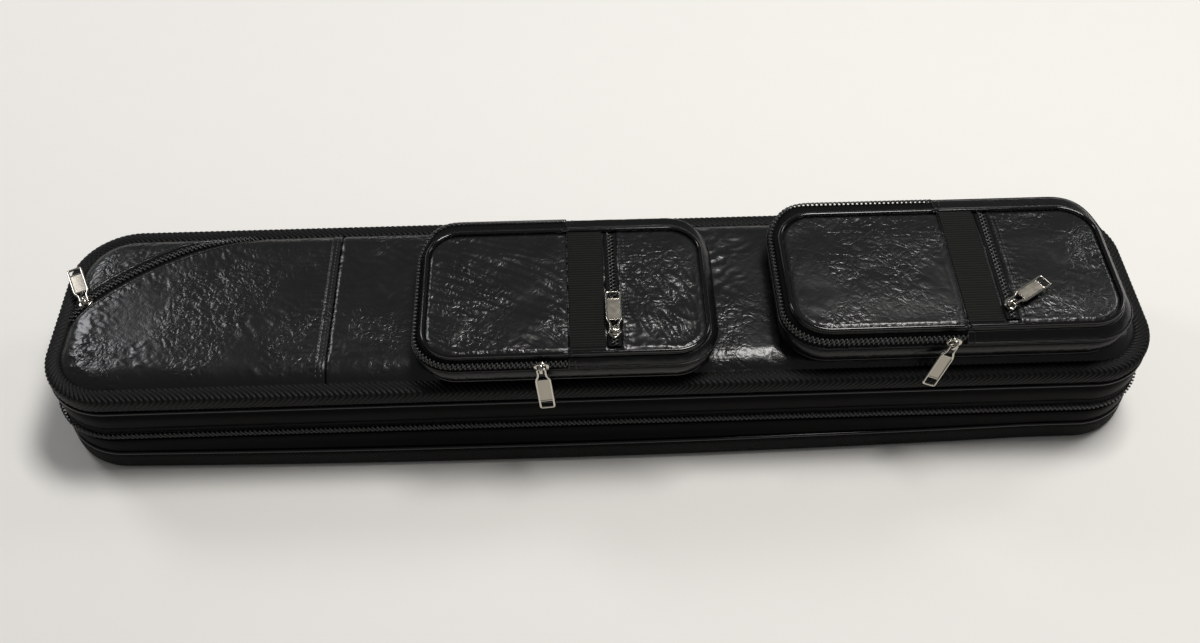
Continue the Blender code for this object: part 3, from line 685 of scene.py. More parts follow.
def make_base():
    """The base's binding, welt, wall and lining: profiles carried round the case, and a floor of cloth that
    rolls by slow noise."""
    ribs = (3.2 * MM, 0.60 * MM, -0.3, side_only)
    binding = case_band(Piece("lower_binding"), "binding_twill", LOWER_BINDING, 0.75 * MM, ribs, 26)
    binding.build("base", ["base_binding"], "binding_twill")

    welt = case_path(2 * MM, -0.0009, 0.0186)
    welt = Piece("lower_welt").tube(welt, 1.5 * MM, "welt_piping", closed=True, sides=10)
    welt.build("base", ["base_piping"], "leatherette")

    wall = case_band(Piece("lower_wall"), "wall_leatherette", LOWER_WALL, 2 * MM, wander=0.5 * MM)
    hem = case_path(2.5 * MM, -0.0006, 0.0345)
    wall.tube(hem, 0.6 * MM, "wall_leatherette", closed=True, sides=6)
    wall.build("base", ["base_wall"])

    lining = Piece("base_lining_cloth")
    hang_cloth(lining, BASE_INNER, 1.2)
    hang_cloth(lining, BASE_SKIRT, 0.8)
    x, y, _ = panel_grid(-0.4125, 0.4125, 0.0125, 3 * MM, 60)
    z = 0.0050 + 0.0004 * noise(x / 0.03, y / 0.03, 71)
    edge = smooth(0.0125, 0.0150, edge_distance(x, y))
    floor = np.stack([x, y, 0.0050 + (z - 0.0050) * edge], -1)
    lining.grid(floor, "lining_cloth", away=np.stack([x, y, z - 1], -1))
    lining.build("base", ["base_lining"], "lining_cloth")

    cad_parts["base_panel"].data.materials.clear()
    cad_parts["base_panel"].data.materials.append(FINISHES["base_board"])


def make_main_zipper():
    """The main zipper round the front and both ends: on each half a tape, with ticks sin(2 pi s / pitch)
    beside the teeth, and half a coil."""
    s = case_steps(1.5 * MM, ZIP_FROM, ZIP_TO)
    for name, body, node, low, high, way in (
        ("main_zip_below", "base", "main_zip_lower", 0.0345, 0.0412, -1),
        ("main_zip_above", "lid", "main_zip_upper", 0.0428, 0.0490, 1),
    ):
        half = Piece(name)
        fine = case_steps(0.75 * MM, ZIP_FROM, ZIP_TO)[:, None]
        levels = np.linspace(low, high, 5)[None]
        beside = smooth(0.0005, 0.0030, 0.0065 - np.abs(levels - ZIP_LINE))
        ticks = 0.10 * MM * np.sin(2 * np.pi * fine / COIL_PITCH) * beside
        face = case_ring(fine, -0.0012 + ticks, levels)
        back = case_ring(fine, -0.0024 + 0 * levels, levels[:, ::-1])
        tape = np.concatenate([face, back], 1)
        half.shell(tape, "zipper_tape", u=fine[:, 0], caps=True)
        path = case_ring(s, 0.0007, ZIP_LINE)
        coil(half, path, np.tile((0.0, 0.0, 1.0), (len(s), 1)), way, up=(0, 0, 1))
        half.build(body, [node], "zipper_nylon")


def make_spine():
    """The leather spine: a strip across the back from one half to the other, slightly gathered."""
    x = np.linspace(-0.373, 0.373, 200)[:, None]
    z = np.linspace(0.0350, 0.0492, 13)[None]
    y = 0.0878 - 0.0016 * np.sin(np.pi * (z - 0.0350) / 0.0142) + 0.00025 * np.sin(2 * np.pi * x / 0.011)
    outer = together(x, y, z)
    inner = outer[:, ::-1] - (0, 0.0012, 0)
    sheet = np.concatenate([outer, inner], 1)
    spine = Piece("leather_spine")
    spine.shell(sheet, "wall_leatherette", caps=True)
    blend = ("base", "lid", (0, 0.088, 0.0365), (0, 0.088, 0.0475))
    spine.build(nodes=["spine_hinge"], blend=blend)


def half_depth(x, inset):
    """Half the case's depth at x, on an outline moved in by inset."""
    radius = CORNER - inset
    past = np.clip(np.abs(x) - FLAT_X, 0, radius)
    return DEPTH / 2 - CORNER + np.sqrt(np.clip(radius**2 - past**2, 0, None))


def edge_distance(x, y):
    """How far a point is inside the case's outline."""
    flat_x, flat_y = np.abs(x) - FLAT_X, np.abs(y) - (DEPTH / 2 - CORNER)
    outside = np.hypot(np.clip(flat_x, 0, None), np.clip(flat_y, 0, None))
    return CORNER - outside - np.minimum(np.maximum(flat_x, flat_y), 0)


def panel_grid(first, last, inset, step, rows, low=None, high=None):
    """Columns of points at even steps of x, each spread from low(x) to high(x), by default the outline."""
    x = np.linspace(first, last, int((last - first) / step) + 1)[:, None]
    top, bottom = half_depth(x, inset), -half_depth(x, inset)
    top = top if high is None else np.minimum(top, high(x))
    bottom = bottom if low is None else np.maximum(bottom, low(x))
    share = np.linspace(0, 1, rows)[None]
    y = bottom + (top - bottom) * share
    return np.broadcast_to(x, y.shape), y, share


def crown(x, y):
    """The padded lid's height: steep inside the binding, then level."""
    t = np.clip((edge_distance(x, y) - 0.0115) / 0.021, 0, 1)
    return 0.0836 + (CROWN_TOP + 0.0004 - 0.0836) * (1 - (1 - t) ** 2.7)


def pillow(piece, x, y, z, under, look="crumpled_leatherette"):
    """A padded sheet: its top is the heights z, and a flat underside closes it."""
    top = np.stack([x, y, z], -1)
    low = np.stack([x[:, [-1, 0]], y[:, [-1, 0]], np.full((len(x), 2), under)], -1)
    points = np.concatenate([top, low], 1)
    middle = points.mean(1, keepdims=True)
    middle[..., 2] = under - 0.002
    piece.grid(points, look, away=middle, across=True, caps=True)
    return piece


def pucker(along, away, seed, reach=7 * MM, size=2.6 * MM):
    """Small gathers across a seam: ridges whose crests run away from it and fade out."""
    wave = noise(along / size, away / (4 * size), seed)
    return 0.55 * MM * wave * np.exp(-np.clip(away, 0, None) / reach)


def arc_radius(x, y):
    """Distance from the centre of the curved zipper's circle."""
    return np.hypot(x - ARC_CENTRE[0], y - ARC_CENTRE[1])


def arc_edge(x, side):
    """y of the folded edge on the inner (-1) or outer (1) side of the curved zipper."""
    reach = ARC_RADIUS + side * ARC_EDGE
    return ARC_CENTRE[1] + np.sqrt(np.clip(reach**2 - (x - ARC_CENTRE[0]) ** 2, 0, None))


def left_panel_edge(x):
    """The inner edge, moved past the outline where the arc leaves the lid."""
    return arc_edge(x, -1) + 0.006 * smooth(-0.285, -0.250, x)


def outer_arc(x):
    """The outer edge, where the corner panel begins."""
    return arc_edge(x, 1)


def turned_down(z, zipper):
    """A panel turned down at the curved zipper, with a row of stitches sunk 3.5 mm from it."""
    z = z - 2.2 * MM * (1 - smooth(0.0, 0.0022, zipper))
    return z - 0.4 * MM * np.exp(-(((zipper - 0.0035) / 0.0008) ** 2))


def make_lid_panels():
    """The three padded panels of the lid: the crown's height plus crinkle, faded out at the binding, at the
    seam and at the curved zipper, plus gathers across each of them."""
    x, y, _ = panel_grid(SEAM_X + 0.0004, 0.4142, PANEL_INSET, 1.25 * MM, 124)
    seam = x - SEAM_X
    z = crown(x, y) + crinkle(x, y, 3, coarse=0.75, fine=1.0) * smooth(0.010, 0.022, edge_distance(x, y))
    z = z - 1.0 * MM * (1 - smooth(0.0, 0.003, seam)) + pucker(y, seam, 9) * 0.8
    z = z + pucker(x, edge_distance(x, y) - 0.0115, 13, reach=5 * MM) * 0.7
    pillow(Piece("lid_main_panel"), x, y, z, PANEL_UNDER).build("lid", ["lid_panel_main"], padded=0.7)

    x, y, _ = panel_grid(-0.4142, SEAM_X, PANEL_INSET, 0.85 * MM, 176, high=left_panel_edge)
    seam, zipper = SEAM_X - x, ARC_RADIUS - ARC_EDGE - arc_radius(x, y)
    zipper = np.where(x > -0.27, np.maximum(zipper, 0.02 * smooth(-0.275, -0.25, x)), zipper)
    rough = crinkle(x, y, 5, coarse=0.6, fine=1.2, size=0.9, turn=0.9, stretch=1.5)
    rough = rough * smooth(0.0080, 0.0140, seam) * smooth(0.0045, 0.0100, zipper)
    z = crown(x, y) + rough * smooth(0.010, 0.020, edge_distance(x, y))
    z = z + 0.55 * MM * smooth(0.0085, 0.0065, seam) - 1.3 * MM * (1 - smooth(0.0, 0.0016, seam))
    for row in SEAM_ROWS:
        z = z - 0.35 * MM * np.exp(-(((seam - row) / 0.0009) ** 2))
    z = z + 1.5 * pucker(y, seam - 0.008, 17, reach=11 * MM, size=3.2 * MM) * smooth(0.006, 0.010, seam)
    along = np.arctan2(y - ARC_CENTRE[1], x - ARC_CENTRE[0]) * ARC_RADIUS
    z = turned_down(z, zipper) + pucker(along, zipper - 0.004, 19, reach=9 * MM)
    left = pillow(Piece("lid_left_panel"), x, y, z, PANEL_UNDER)
    for row in SEAM_ROWS:
        at = np.linspace(-0.0735, 0.0735, 60)
        row_x = np.full(60, SEAM_X - row)
        path = np.stack([row_x, at, crown(row_x, at) + 0.45 * MM], -1)
        stitches(left, path, (0, 0, 1.0))
    left.build("lid", ["lid_panel_left"], padded=0.8)

    x, y, _ = panel_grid(-0.4142, -0.2990, PANEL_INSET, 0.9 * MM, 60, low=outer_arc)
    zipper = arc_radius(x, y) - ARC_RADIUS - ARC_EDGE
    rough = crinkle(x, y, 7, coarse=0.6, fine=1.3, size=0.8)
    z = turned_down(crown(x, y) + rough * smooth(0.010, 0.020, edge_distance(x, y)), zipper)
    corner = pillow(Piece("lid_corner_panel"), x, y, z, PANEL_UNDER)
    corner.build("lid", ["lid_panel_corner"], padded=0.7)


def arc_path(offset, first, last, lift, step=1.0 * MM):
    """Points on the curved zipper's circle, lifted off the crown under it."""
    angle = np.radians(np.linspace(first, last, int(np.radians(last - first) * ARC_RADIUS / step) + 1))
    x = ARC_CENTRE[0] + (ARC_RADIUS + offset) * np.cos(angle)
    y = ARC_CENTRE[1] + (ARC_RADIUS + offset) * np.sin(angle)
    return np.stack([x, y, crown(x, y) + lift], -1)


# (offset, lift) round the curved zipper's tape.
ARC_TAPE = [
    (-0.0056, -0.0022), (-0.0030, -0.0022), (-0.0010, -0.0019), (0.0010, -0.0019), (0.0030, -0.0022),
    (0.0056, -0.0022), (0.0056, -0.0034), (-0.0056, -0.0034),
]


def make_arc_zipper():
    """The curved zipper: a tape and two half coils along the arc, with a row of stitches on either side."""
    arc = Piece("curved_zip")
    tape = np.stack([arc_path(offset, ARC_FROM, ARC_TO, lift) for offset, lift in ARC_TAPE], 1)
    arc.shell(tape, "zipper_tape", caps=True)
    path = arc_path(0.0, ARC_FROM, ARC_TO, -0.0004)
    outwards = arc_path(0.001, ARC_FROM, ARC_TO, 0) - arc_path(0, ARC_FROM, ARC_TO, 0)
    outwards[:, 2] = 0
    for way in (-1, 1):
        coil(arc, path, outwards, way)
    for offset in (-0.0083, 0.0083):
        row = arc_path(offset, ARC_FROM + 3, ARC_TO - 2, -0.05 * MM)
        stitches(arc, row, (0, 0, 1.0), pitch=3.0 * MM, length=2.2 * MM)
    arc.build("lid", ["arc_zip_tape"], "zipper_nylon")


def make_lid_shell():
    """The lid's wall, its folded edge, its binding and its lining, made as the base's are."""
    wall = case_band(Piece("upper_wall"), "wall_leatherette", UPPER_WALL, 2 * MM, count=30, wander=0.5 * MM)
    wall.tube(case_path(2 * MM, -0.0006, 0.0688), 1.25 * MM, "welt_piping", closed=True, sides=8)
    wall.build("lid", ["lid_wall"])

    ribs = (RIB, 0.85 * MM, 0.33, top_and_side)
    binding = case_band(Piece("upper_binding"), "binding_twill", UPPER_BINDING, 0.85 * MM, ribs, 40)
    binding.build("lid", ["lid_binding"], "binding_twill")

    lining = Piece("lid_lining_cloth")
    hang_cloth(lining, LID_INNER, 1.2)
    x, y, _ = panel_grid(-0.4120, 0.4120, 0.0130, 3 * MM, 60)
    edge = smooth(0.0130, 0.0160, edge_distance(x, y))
    z = 0.0790 + 0.0005 * noise(x / 0.04, y / 0.04, 77) * edge
    lining.grid(np.stack([x, y, z], -1), "lining_cloth", away=np.stack([x, y, z + 1], -1))
    lining.build("lid", ["lid_lining"], "lining_cloth")


# ---- Inside the base, and the handle ----
# (y, height) over a cradle; (x, height) along the handle; (y, height) round the handle's loops.
STRAP_LINE = [
    (-0.0791, 0.020), (-0.0793, 0.050), (-0.0782, 0.0566), (0.0782, 0.0566), (0.0793, 0.050), (0.0791, 0.020),
]
HANDLE_LINE = [
    (-HANDLE_X, 0.0336), (-HANDLE_X, 0.0200), (-0.0560, 0.0192), (0.0560, 0.0192), (HANDLE_X, 0.0200),
    (HANDLE_X, 0.0336),
]
LOOP_LINE = [(0.0885, 0.0310), (0.0918, 0.0312), (0.0928, 0.0330), (0.0915, 0.0344), (0.0885, 0.0342)]


def make_cradles():
    """Foam blocks whose tops are waves: grooves of a circle's lower half, with rounded lips between."""
    for side, word in ((-1, "left"), (1, "right")):
        y = np.linspace(-0.078, 0.078, 240)
        across = (y + 0.078) % 0.039 - 0.0195
        dip = np.sqrt(np.clip(0.0155**2 - across**2, 0, None))
        depth = np.where(np.abs(across) < 0.0155, 0.004 + dip, 0.004 * smooth(0.0195, 0.0155, np.abs(across)))
        depth = np.minimum(depth, 0.0195)
        x = np.linspace(-0.030, 0.030, 40)[:, None]
        roll = 0.003 * (1 - np.sqrt(np.clip(1 - np.clip((np.abs(x) - 0.027) / 0.003, 0, 1) ** 2, 0, 1)))
        z = 0.056 - depth[None] - roll
        top = together(x + side * CRADLE_X, y[None], z)
        ends = together(x + side * CRADLE_X, np.array([[0.078, -0.078]]), 0.0053)
        points = np.concatenate([top, ends], 1)
        middle = points.mean(1, keepdims=True)
        middle[..., 2] = 0.003
        cradle = Piece("cradle_" + word)
        cradle.grid(points, "cradle_foam", away=middle, across=True, caps=True)
        cradle.build("base", ["cue_cradle_" + word], "foam", padded=1.0)

        line = rounded_profile(STRAP_LINE, 160, 2)
        line = np.stack([np.full(160, side * CRADLE_X), line[:, 0], line[:, 1]], -1)
        out = np.cross(tangents(line), (1.0, 0, 0))
        width = np.linspace(-0.019, 0.019, 24)[None, :, None] * np.array([1.0, 0, 0])
        ribs = 0.12 * MM * np.cos(np.arange(160)[:, None, None] * 2 * np.pi / 3)
        outer = line[:, None] + width + (0.0006 + ribs) * out[:, None]
        inner = (line[:, None] + width - 0.0002 * out[:, None])[:, ::-1]
        strap = Piece("strap_" + word)
        points = np.concatenate([outer, inner], 1)
        strap.shell(points, "ribbed_webbing", caps=True)
        strap.build("base", ["cue_strap_" + word], "binding_twill")


def make_handle():
    """A padded strip of leatherette hanging on the back: a rounded flat section along a U-shaped line."""
    path = rounded_profile(HANDLE_LINE, 150, 6)
    path = np.stack([path[:, 0], np.full(150, HANDLE_Y), path[:, 1]], -1)
    middle = smooth(0.075, 0.052, np.abs(path[:, 0]))
    width = 0.0085 - 0.0038 * middle
    angle = 2 * np.pi * np.arange(16) / 16
    along = tangents(path)
    side = np.cross(along, (0, 1.0, 0))
    section = np.cos(angle)[None, :, None] * side[:, None] * width[:, None, None]
    thick = 0.0016 * np.sign(np.sin(angle)) * np.abs(np.sin(angle)) ** 0.6
    points = path[:, None] + section + thick[None, :, None] * np.array([0, 1.0, 0])
    handle = Piece("carry_handle")
    handle.grid(points, "gusset_leatherette", away=path[:, None], across=True, caps=True)
    for sign in (-1, 1):
        stitches(handle, path[10:-10] + side[10:-10] * sign * 0.0034 + (0, 0.0015, 0), (0, 1.0, 0))
    handle.build("handle", ["handle_grip"])
    for end, word in ((-1, "left"), (1, "right")):
        tab = Piece("handle_loop_" + word)
        middle_x = end * HANDLE_X
        u = np.linspace(-1, 1, 25)[:, None]
        v = np.linspace(-1, 1, 25)[None]
        outward = 0.0008 * (1 - np.clip(np.abs(u), 0, 1) ** 6) * (1 - np.clip(np.abs(v), 0, 1) ** 6)
        x = middle_x + 0.0118 * u + 0 * v
        z = 0.0272 + 0.0070 * v + 0 * u
        front = together(x, 0.0885 + outward, z)
        back = together(x, 0.0880 + 0 * outward, z)[:, ::-1]
        points = np.concatenate([front, back], 1)
        tab.shell(points, "gusset_leatherette", caps=True)
        for way in (-1, 1):
            x = middle_x + way * 0.0108
            bar = [(x, *point) for point in LOOP_LINE]
            tab.tube(spaced(bar, 24)[0], 0.0011, "gusset_leatherette", sides=8, up=(1, 0, 0))
            edge_x = middle_x + way * 0.0100
            edge = np.linspace((edge_x, 0.0893, 0.0212), (edge_x, 0.0893, 0.0330), 12)
            stitches(tab, edge, (0, 1.0, 0), pitch=2.4 * MM, length=1.8 * MM, radius=0.3 * MM)
        tab.build("base", ["handle_tab_" + word])


# ---- Sliders and pulls ----
PULL_LENGTH = 0.037
EDGE_STEPS = [0, 0.38, 0.5, 0.62, 1]  # over a slider's plate: top, rounded edge, underside


def frame_of(origin, along, up):
    """A rotation whose X is along a pull and whose Z is out of the surface, and the place it turns about."""
    x = np.array(along, float) / np.linalg.norm(along)
    y = np.cross(up, x)
    y /= np.linalg.norm(y)
    return np.stack([x, y, np.cross(x, y)]), np.array(origin, float)


def put(points, turn, place):
    """Points in such a frame's own axes, moved to where they are."""
    return np.asarray(points) @ turn + place


def pull_outline(t):
    """Half width of a pull at distance t from its bar: a narrow loop, sloping shoulders, then a long plate."""
    return np.interp(t, [0.0, 0.0060, 0.0095, 0.0110, PULL_LENGTH], [0.0036, 0.0036, 0.0054, 0.0058, 0.0058])


def make_pull(name, origin, along, up, body):
    """A cast frame: a rim tube round the outline, an inset brushed plate, a bar that makes a window at the
    far end, and a loop that narrows to the slider's arch."""
    turn, place = frame_of(origin, along, up)
    pull = Piece(name + "_tab")
    plate_end = PULL_LENGTH - 0.0068
    t = np.concatenate([np.full(3, -0.0001), np.linspace(0.0, PULL_LENGTH - 0.0008, 60)])
    right = np.stack([t, -pull_outline(np.clip(t, 0, None)) + 0.0007, 0 * t], -1)
    right[:3, 1] = [0.0, -0.0013, -0.0024]
    end = np.array([(PULL_LENGTH - 0.0003, y, 0) for y in (-0.0044, 0.0, 0.0044)])
    left = right[::-1] * (1, -1, 1)
    rim = put(rounded_profile(np.concatenate([right, end, left[:-1]]), 170, 2), turn, place)
    section = tube(rim, 0.00085, sides=10, closed=True, up=turn[2], squareness=0.18)
    pull.grid(section, "polished_nickel", away=rim[:, None], around=True, across=True)
    for at in (0.0102, plate_end):
        bar = put(np.stack([np.full(9, at), np.linspace(-0.0052, 0.0052, 9), np.zeros(9)], -1), turn, place)
        section = tube(bar, 0.00062, sides=8, up=turn[2], squareness=0.25)
        pull.grid(section, "polished_nickel", away=bar[:, None], across=True, caps=True)
    x = np.linspace(0.0104, plate_end, 40)[:, None]
    y = np.linspace(-1, 1, 14)[None] * 0.0050
    face = together(x, y, 0.00030 - 0.00008 * (y / 0.005) ** 2)
    back = face[:, ::-1] * (1, 1, -1)
    points = put(np.concatenate([face, back], 1), turn, place)
    v = np.concatenate([y[0], y[0][::-1] + 0.02, [y[0][0] + 0.04]])
    pull.shell(points, "brushed_nickel", u=x[:, 0], v=v, caps=True)
    pull.build(body, [name + "_pull"], "nickel_plate")


def make_slider(name, origin, along, up, chain, body):
    """A die-cast slider: a heart-shaped upper plate with a rounded edge, a smaller plate below it,
    and an arched bridge from nose to tail that holds the pull's bar."""
    turn, place = frame_of(origin, chain, up)
    slider = Piece(name + "_runner")
    angle = np.linspace(0, 2 * np.pi, 73)[:-1][:, None]
    reach = 0.0052 + 0.0008 * np.cos(angle) + 0.0006 * np.cos(2 * angle) - 0.0005 * np.cos(3 * angle)
    wide = 0.0046 + 0.0004 * np.cos(angle)
    for top, thick, size in ((-0.0016, 0.0012, 1.0), (-0.0030, 0.0009, 0.94)):
        v = np.linspace(0, 1, 17)[None]
        share = np.interp(v, EDGE_STEPS, [0.02, 0.93, 1.0, 0.93, 0.02]) * size
        middle, low = top - thick / 2, top - thick
        z = np.interp(v, EDGE_STEPS, [top, top - 0.0002, middle, low + 0.0002, low])
        x, y = reach * np.cos(angle) * share, wide * np.sin(angle) * share
        points = put(together(x, y, z), turn, place)
        slider.grid(points, "polished_nickel", away=put([0, 0, middle], turn, place), around=True)
    pull_turn, _ = frame_of(origin, along, up)
    a = np.linspace(0, np.pi, 30)
    bridge = np.stack([0.0040 * np.cos(a), 0 * a, -0.0019 + 0.0042 * np.sin(a) ** 0.7], -1)
    wide = 0.0011 + 0.0005 * np.abs(np.cos(a))
    bridge_side = np.zeros((30, 3)) + pull_turn[1]
    path = put(bridge, pull_turn, place)
    out = np.cross(tangents(path), bridge_side)
    ring = 2 * np.pi * np.arange(10) / 10
    points = path[:, None] + wide[:, None, None] * np.cos(ring)[None, :, None] * bridge_side[:, None]
    points = points + 0.0005 * np.sin(ring)[None, :, None] * out[:, None]
    slider.grid(points, "polished_nickel", away=path[:, None], across=True, caps=True)
    slider.build(body, [name + "_slider"], "nickel_plate")


# For each slider: its place, the pull's direction, the way out of the surface, the zipper's direction.
SLIDERS = {
    "arc": ((-0.40229, 0.00569, 0.093), (-0.43, 0.90, 0), (0, 0, 1), (0.66913, 0.74314, 0)),
    "main_front": ((0.430, 0.006, 0.042), (0, 0, -1), (1, 0, 0), (0, 1, 0)),
    "main_back": ((0.430, 0.020, 0.042), (0, 0, -1), (1, 0, 0), (0, 1, 0)),
    "mid_gusset": ((-0.045, -0.0906, 0.112), (0.10, -0.20, -0.97), (0, -1, 0), (1, 0, 0)),
    "mid_lid": ((0.0095, -0.068, 0.1271), (0, 1, 0), (0, 0, 1), (0, 1, 0)),
    "right_gusset": ((0.2575, -0.0831, 0.1165), (-0.42, -0.30, -0.855), (0, -1, 0), (1, 0, 0)),
    "right_lid": ((0.3025, -0.056, 0.1316), (0.83, 0.56, 0), (0, 0, 1), (0, 1, 0)),
}


def make_sliders():
    """Every slider with its pull."""
    for name, (origin, along, up, chain) in SLIDERS.items():
        make_slider(name, origin, along, up, chain, name + "_slider")
        make_pull(name, origin, along, up, name + "_pull")


# ---- The pockets ----
def pocket_sides(pocket, step=1.0 * MM):
    """Distances along the widest outline: the left half, which unzips, and the right half, which doesn't."""
    split = length_to(pocket["outer"], pocket["hinge_x"], pocket["hinge_x"])
    whole = girth(pocket["outer"])
    left = np.linspace(0, split, int(split / step))
    return left, np.linspace(split, whole, int((whole - split) / step))


def ring_band(piece, pocket, s, look, outer, inner, gather=0.0, seed=0, **grid):
    """Carries a profile of (share, offset, height) rows round part of a pocket, with an inner side."""
    outer, inner = rounded_profile(outer, max(12, 2 * len(outer)), 1), np.array(inner, float)
    rows = np.concatenate([outer, inner[::-1]])[None]
    lift = np.zeros((len(s), rows.shape[1]))
    if gather:
        fine = noise(s[:, None] / 0.0045, rows[..., 2] / 0.006, seed)
        wave = fine + 0.8 * noise(s[:, None] / 0.013, rows[..., 2] / 0.012, seed + 1)
        lift[:, : len(outer)] = gather * wave[:, : len(outer)]
    points = pocket_ring(pocket, s[:, None], rows[..., 0], rows[..., 1] + lift, rows[..., 2])
    piece.shell(points, look, u=s, **grid)
    return points


def face_half(pocket, left, rows, step, inset=0.0006):
    """Columns over half of a pocket's face, each spread over the depth of its outline there."""
    (middle_x, middle_y), (half_x, half_y), radius = pocket["face"]
    hinge = pocket["hinge_x"]
    first, last = (middle_x - half_x + inset, hinge) if left else (hinge, middle_x + half_x - inset)
    x = np.linspace(first, last, int((last - first) / step))[:, None]
    past = np.clip(np.abs(x - middle_x) - (half_x - radius), 0, radius - inset)
    reach = half_y - radius + np.sqrt(np.clip((radius - inset) ** 2 - past**2, 0, None))
    share = np.linspace(-1, 1, rows)[None]
    y = middle_y + reach * share
    flat_x, flat_y = np.abs(x - middle_x) - (half_x - radius), np.abs(y - middle_y) - (half_y - radius)
    beyond = np.hypot(np.clip(flat_x, 0, None), np.clip(flat_y, 0, None))
    edge = radius - beyond - np.minimum(np.maximum(flat_x, flat_y), 0)
    return np.broadcast_to(x, y.shape), y, edge


def face_height(pocket, x, y, edge):
    """The padded face: sunk beside the piping, then a slow crown."""
    t = smooth(0.0008, 0.0050, edge)
    swell = smooth(0.004, 0.034, edge)
    return pocket["top"] - 0.0016 + 0.0014 * t + 0.0010 * swell


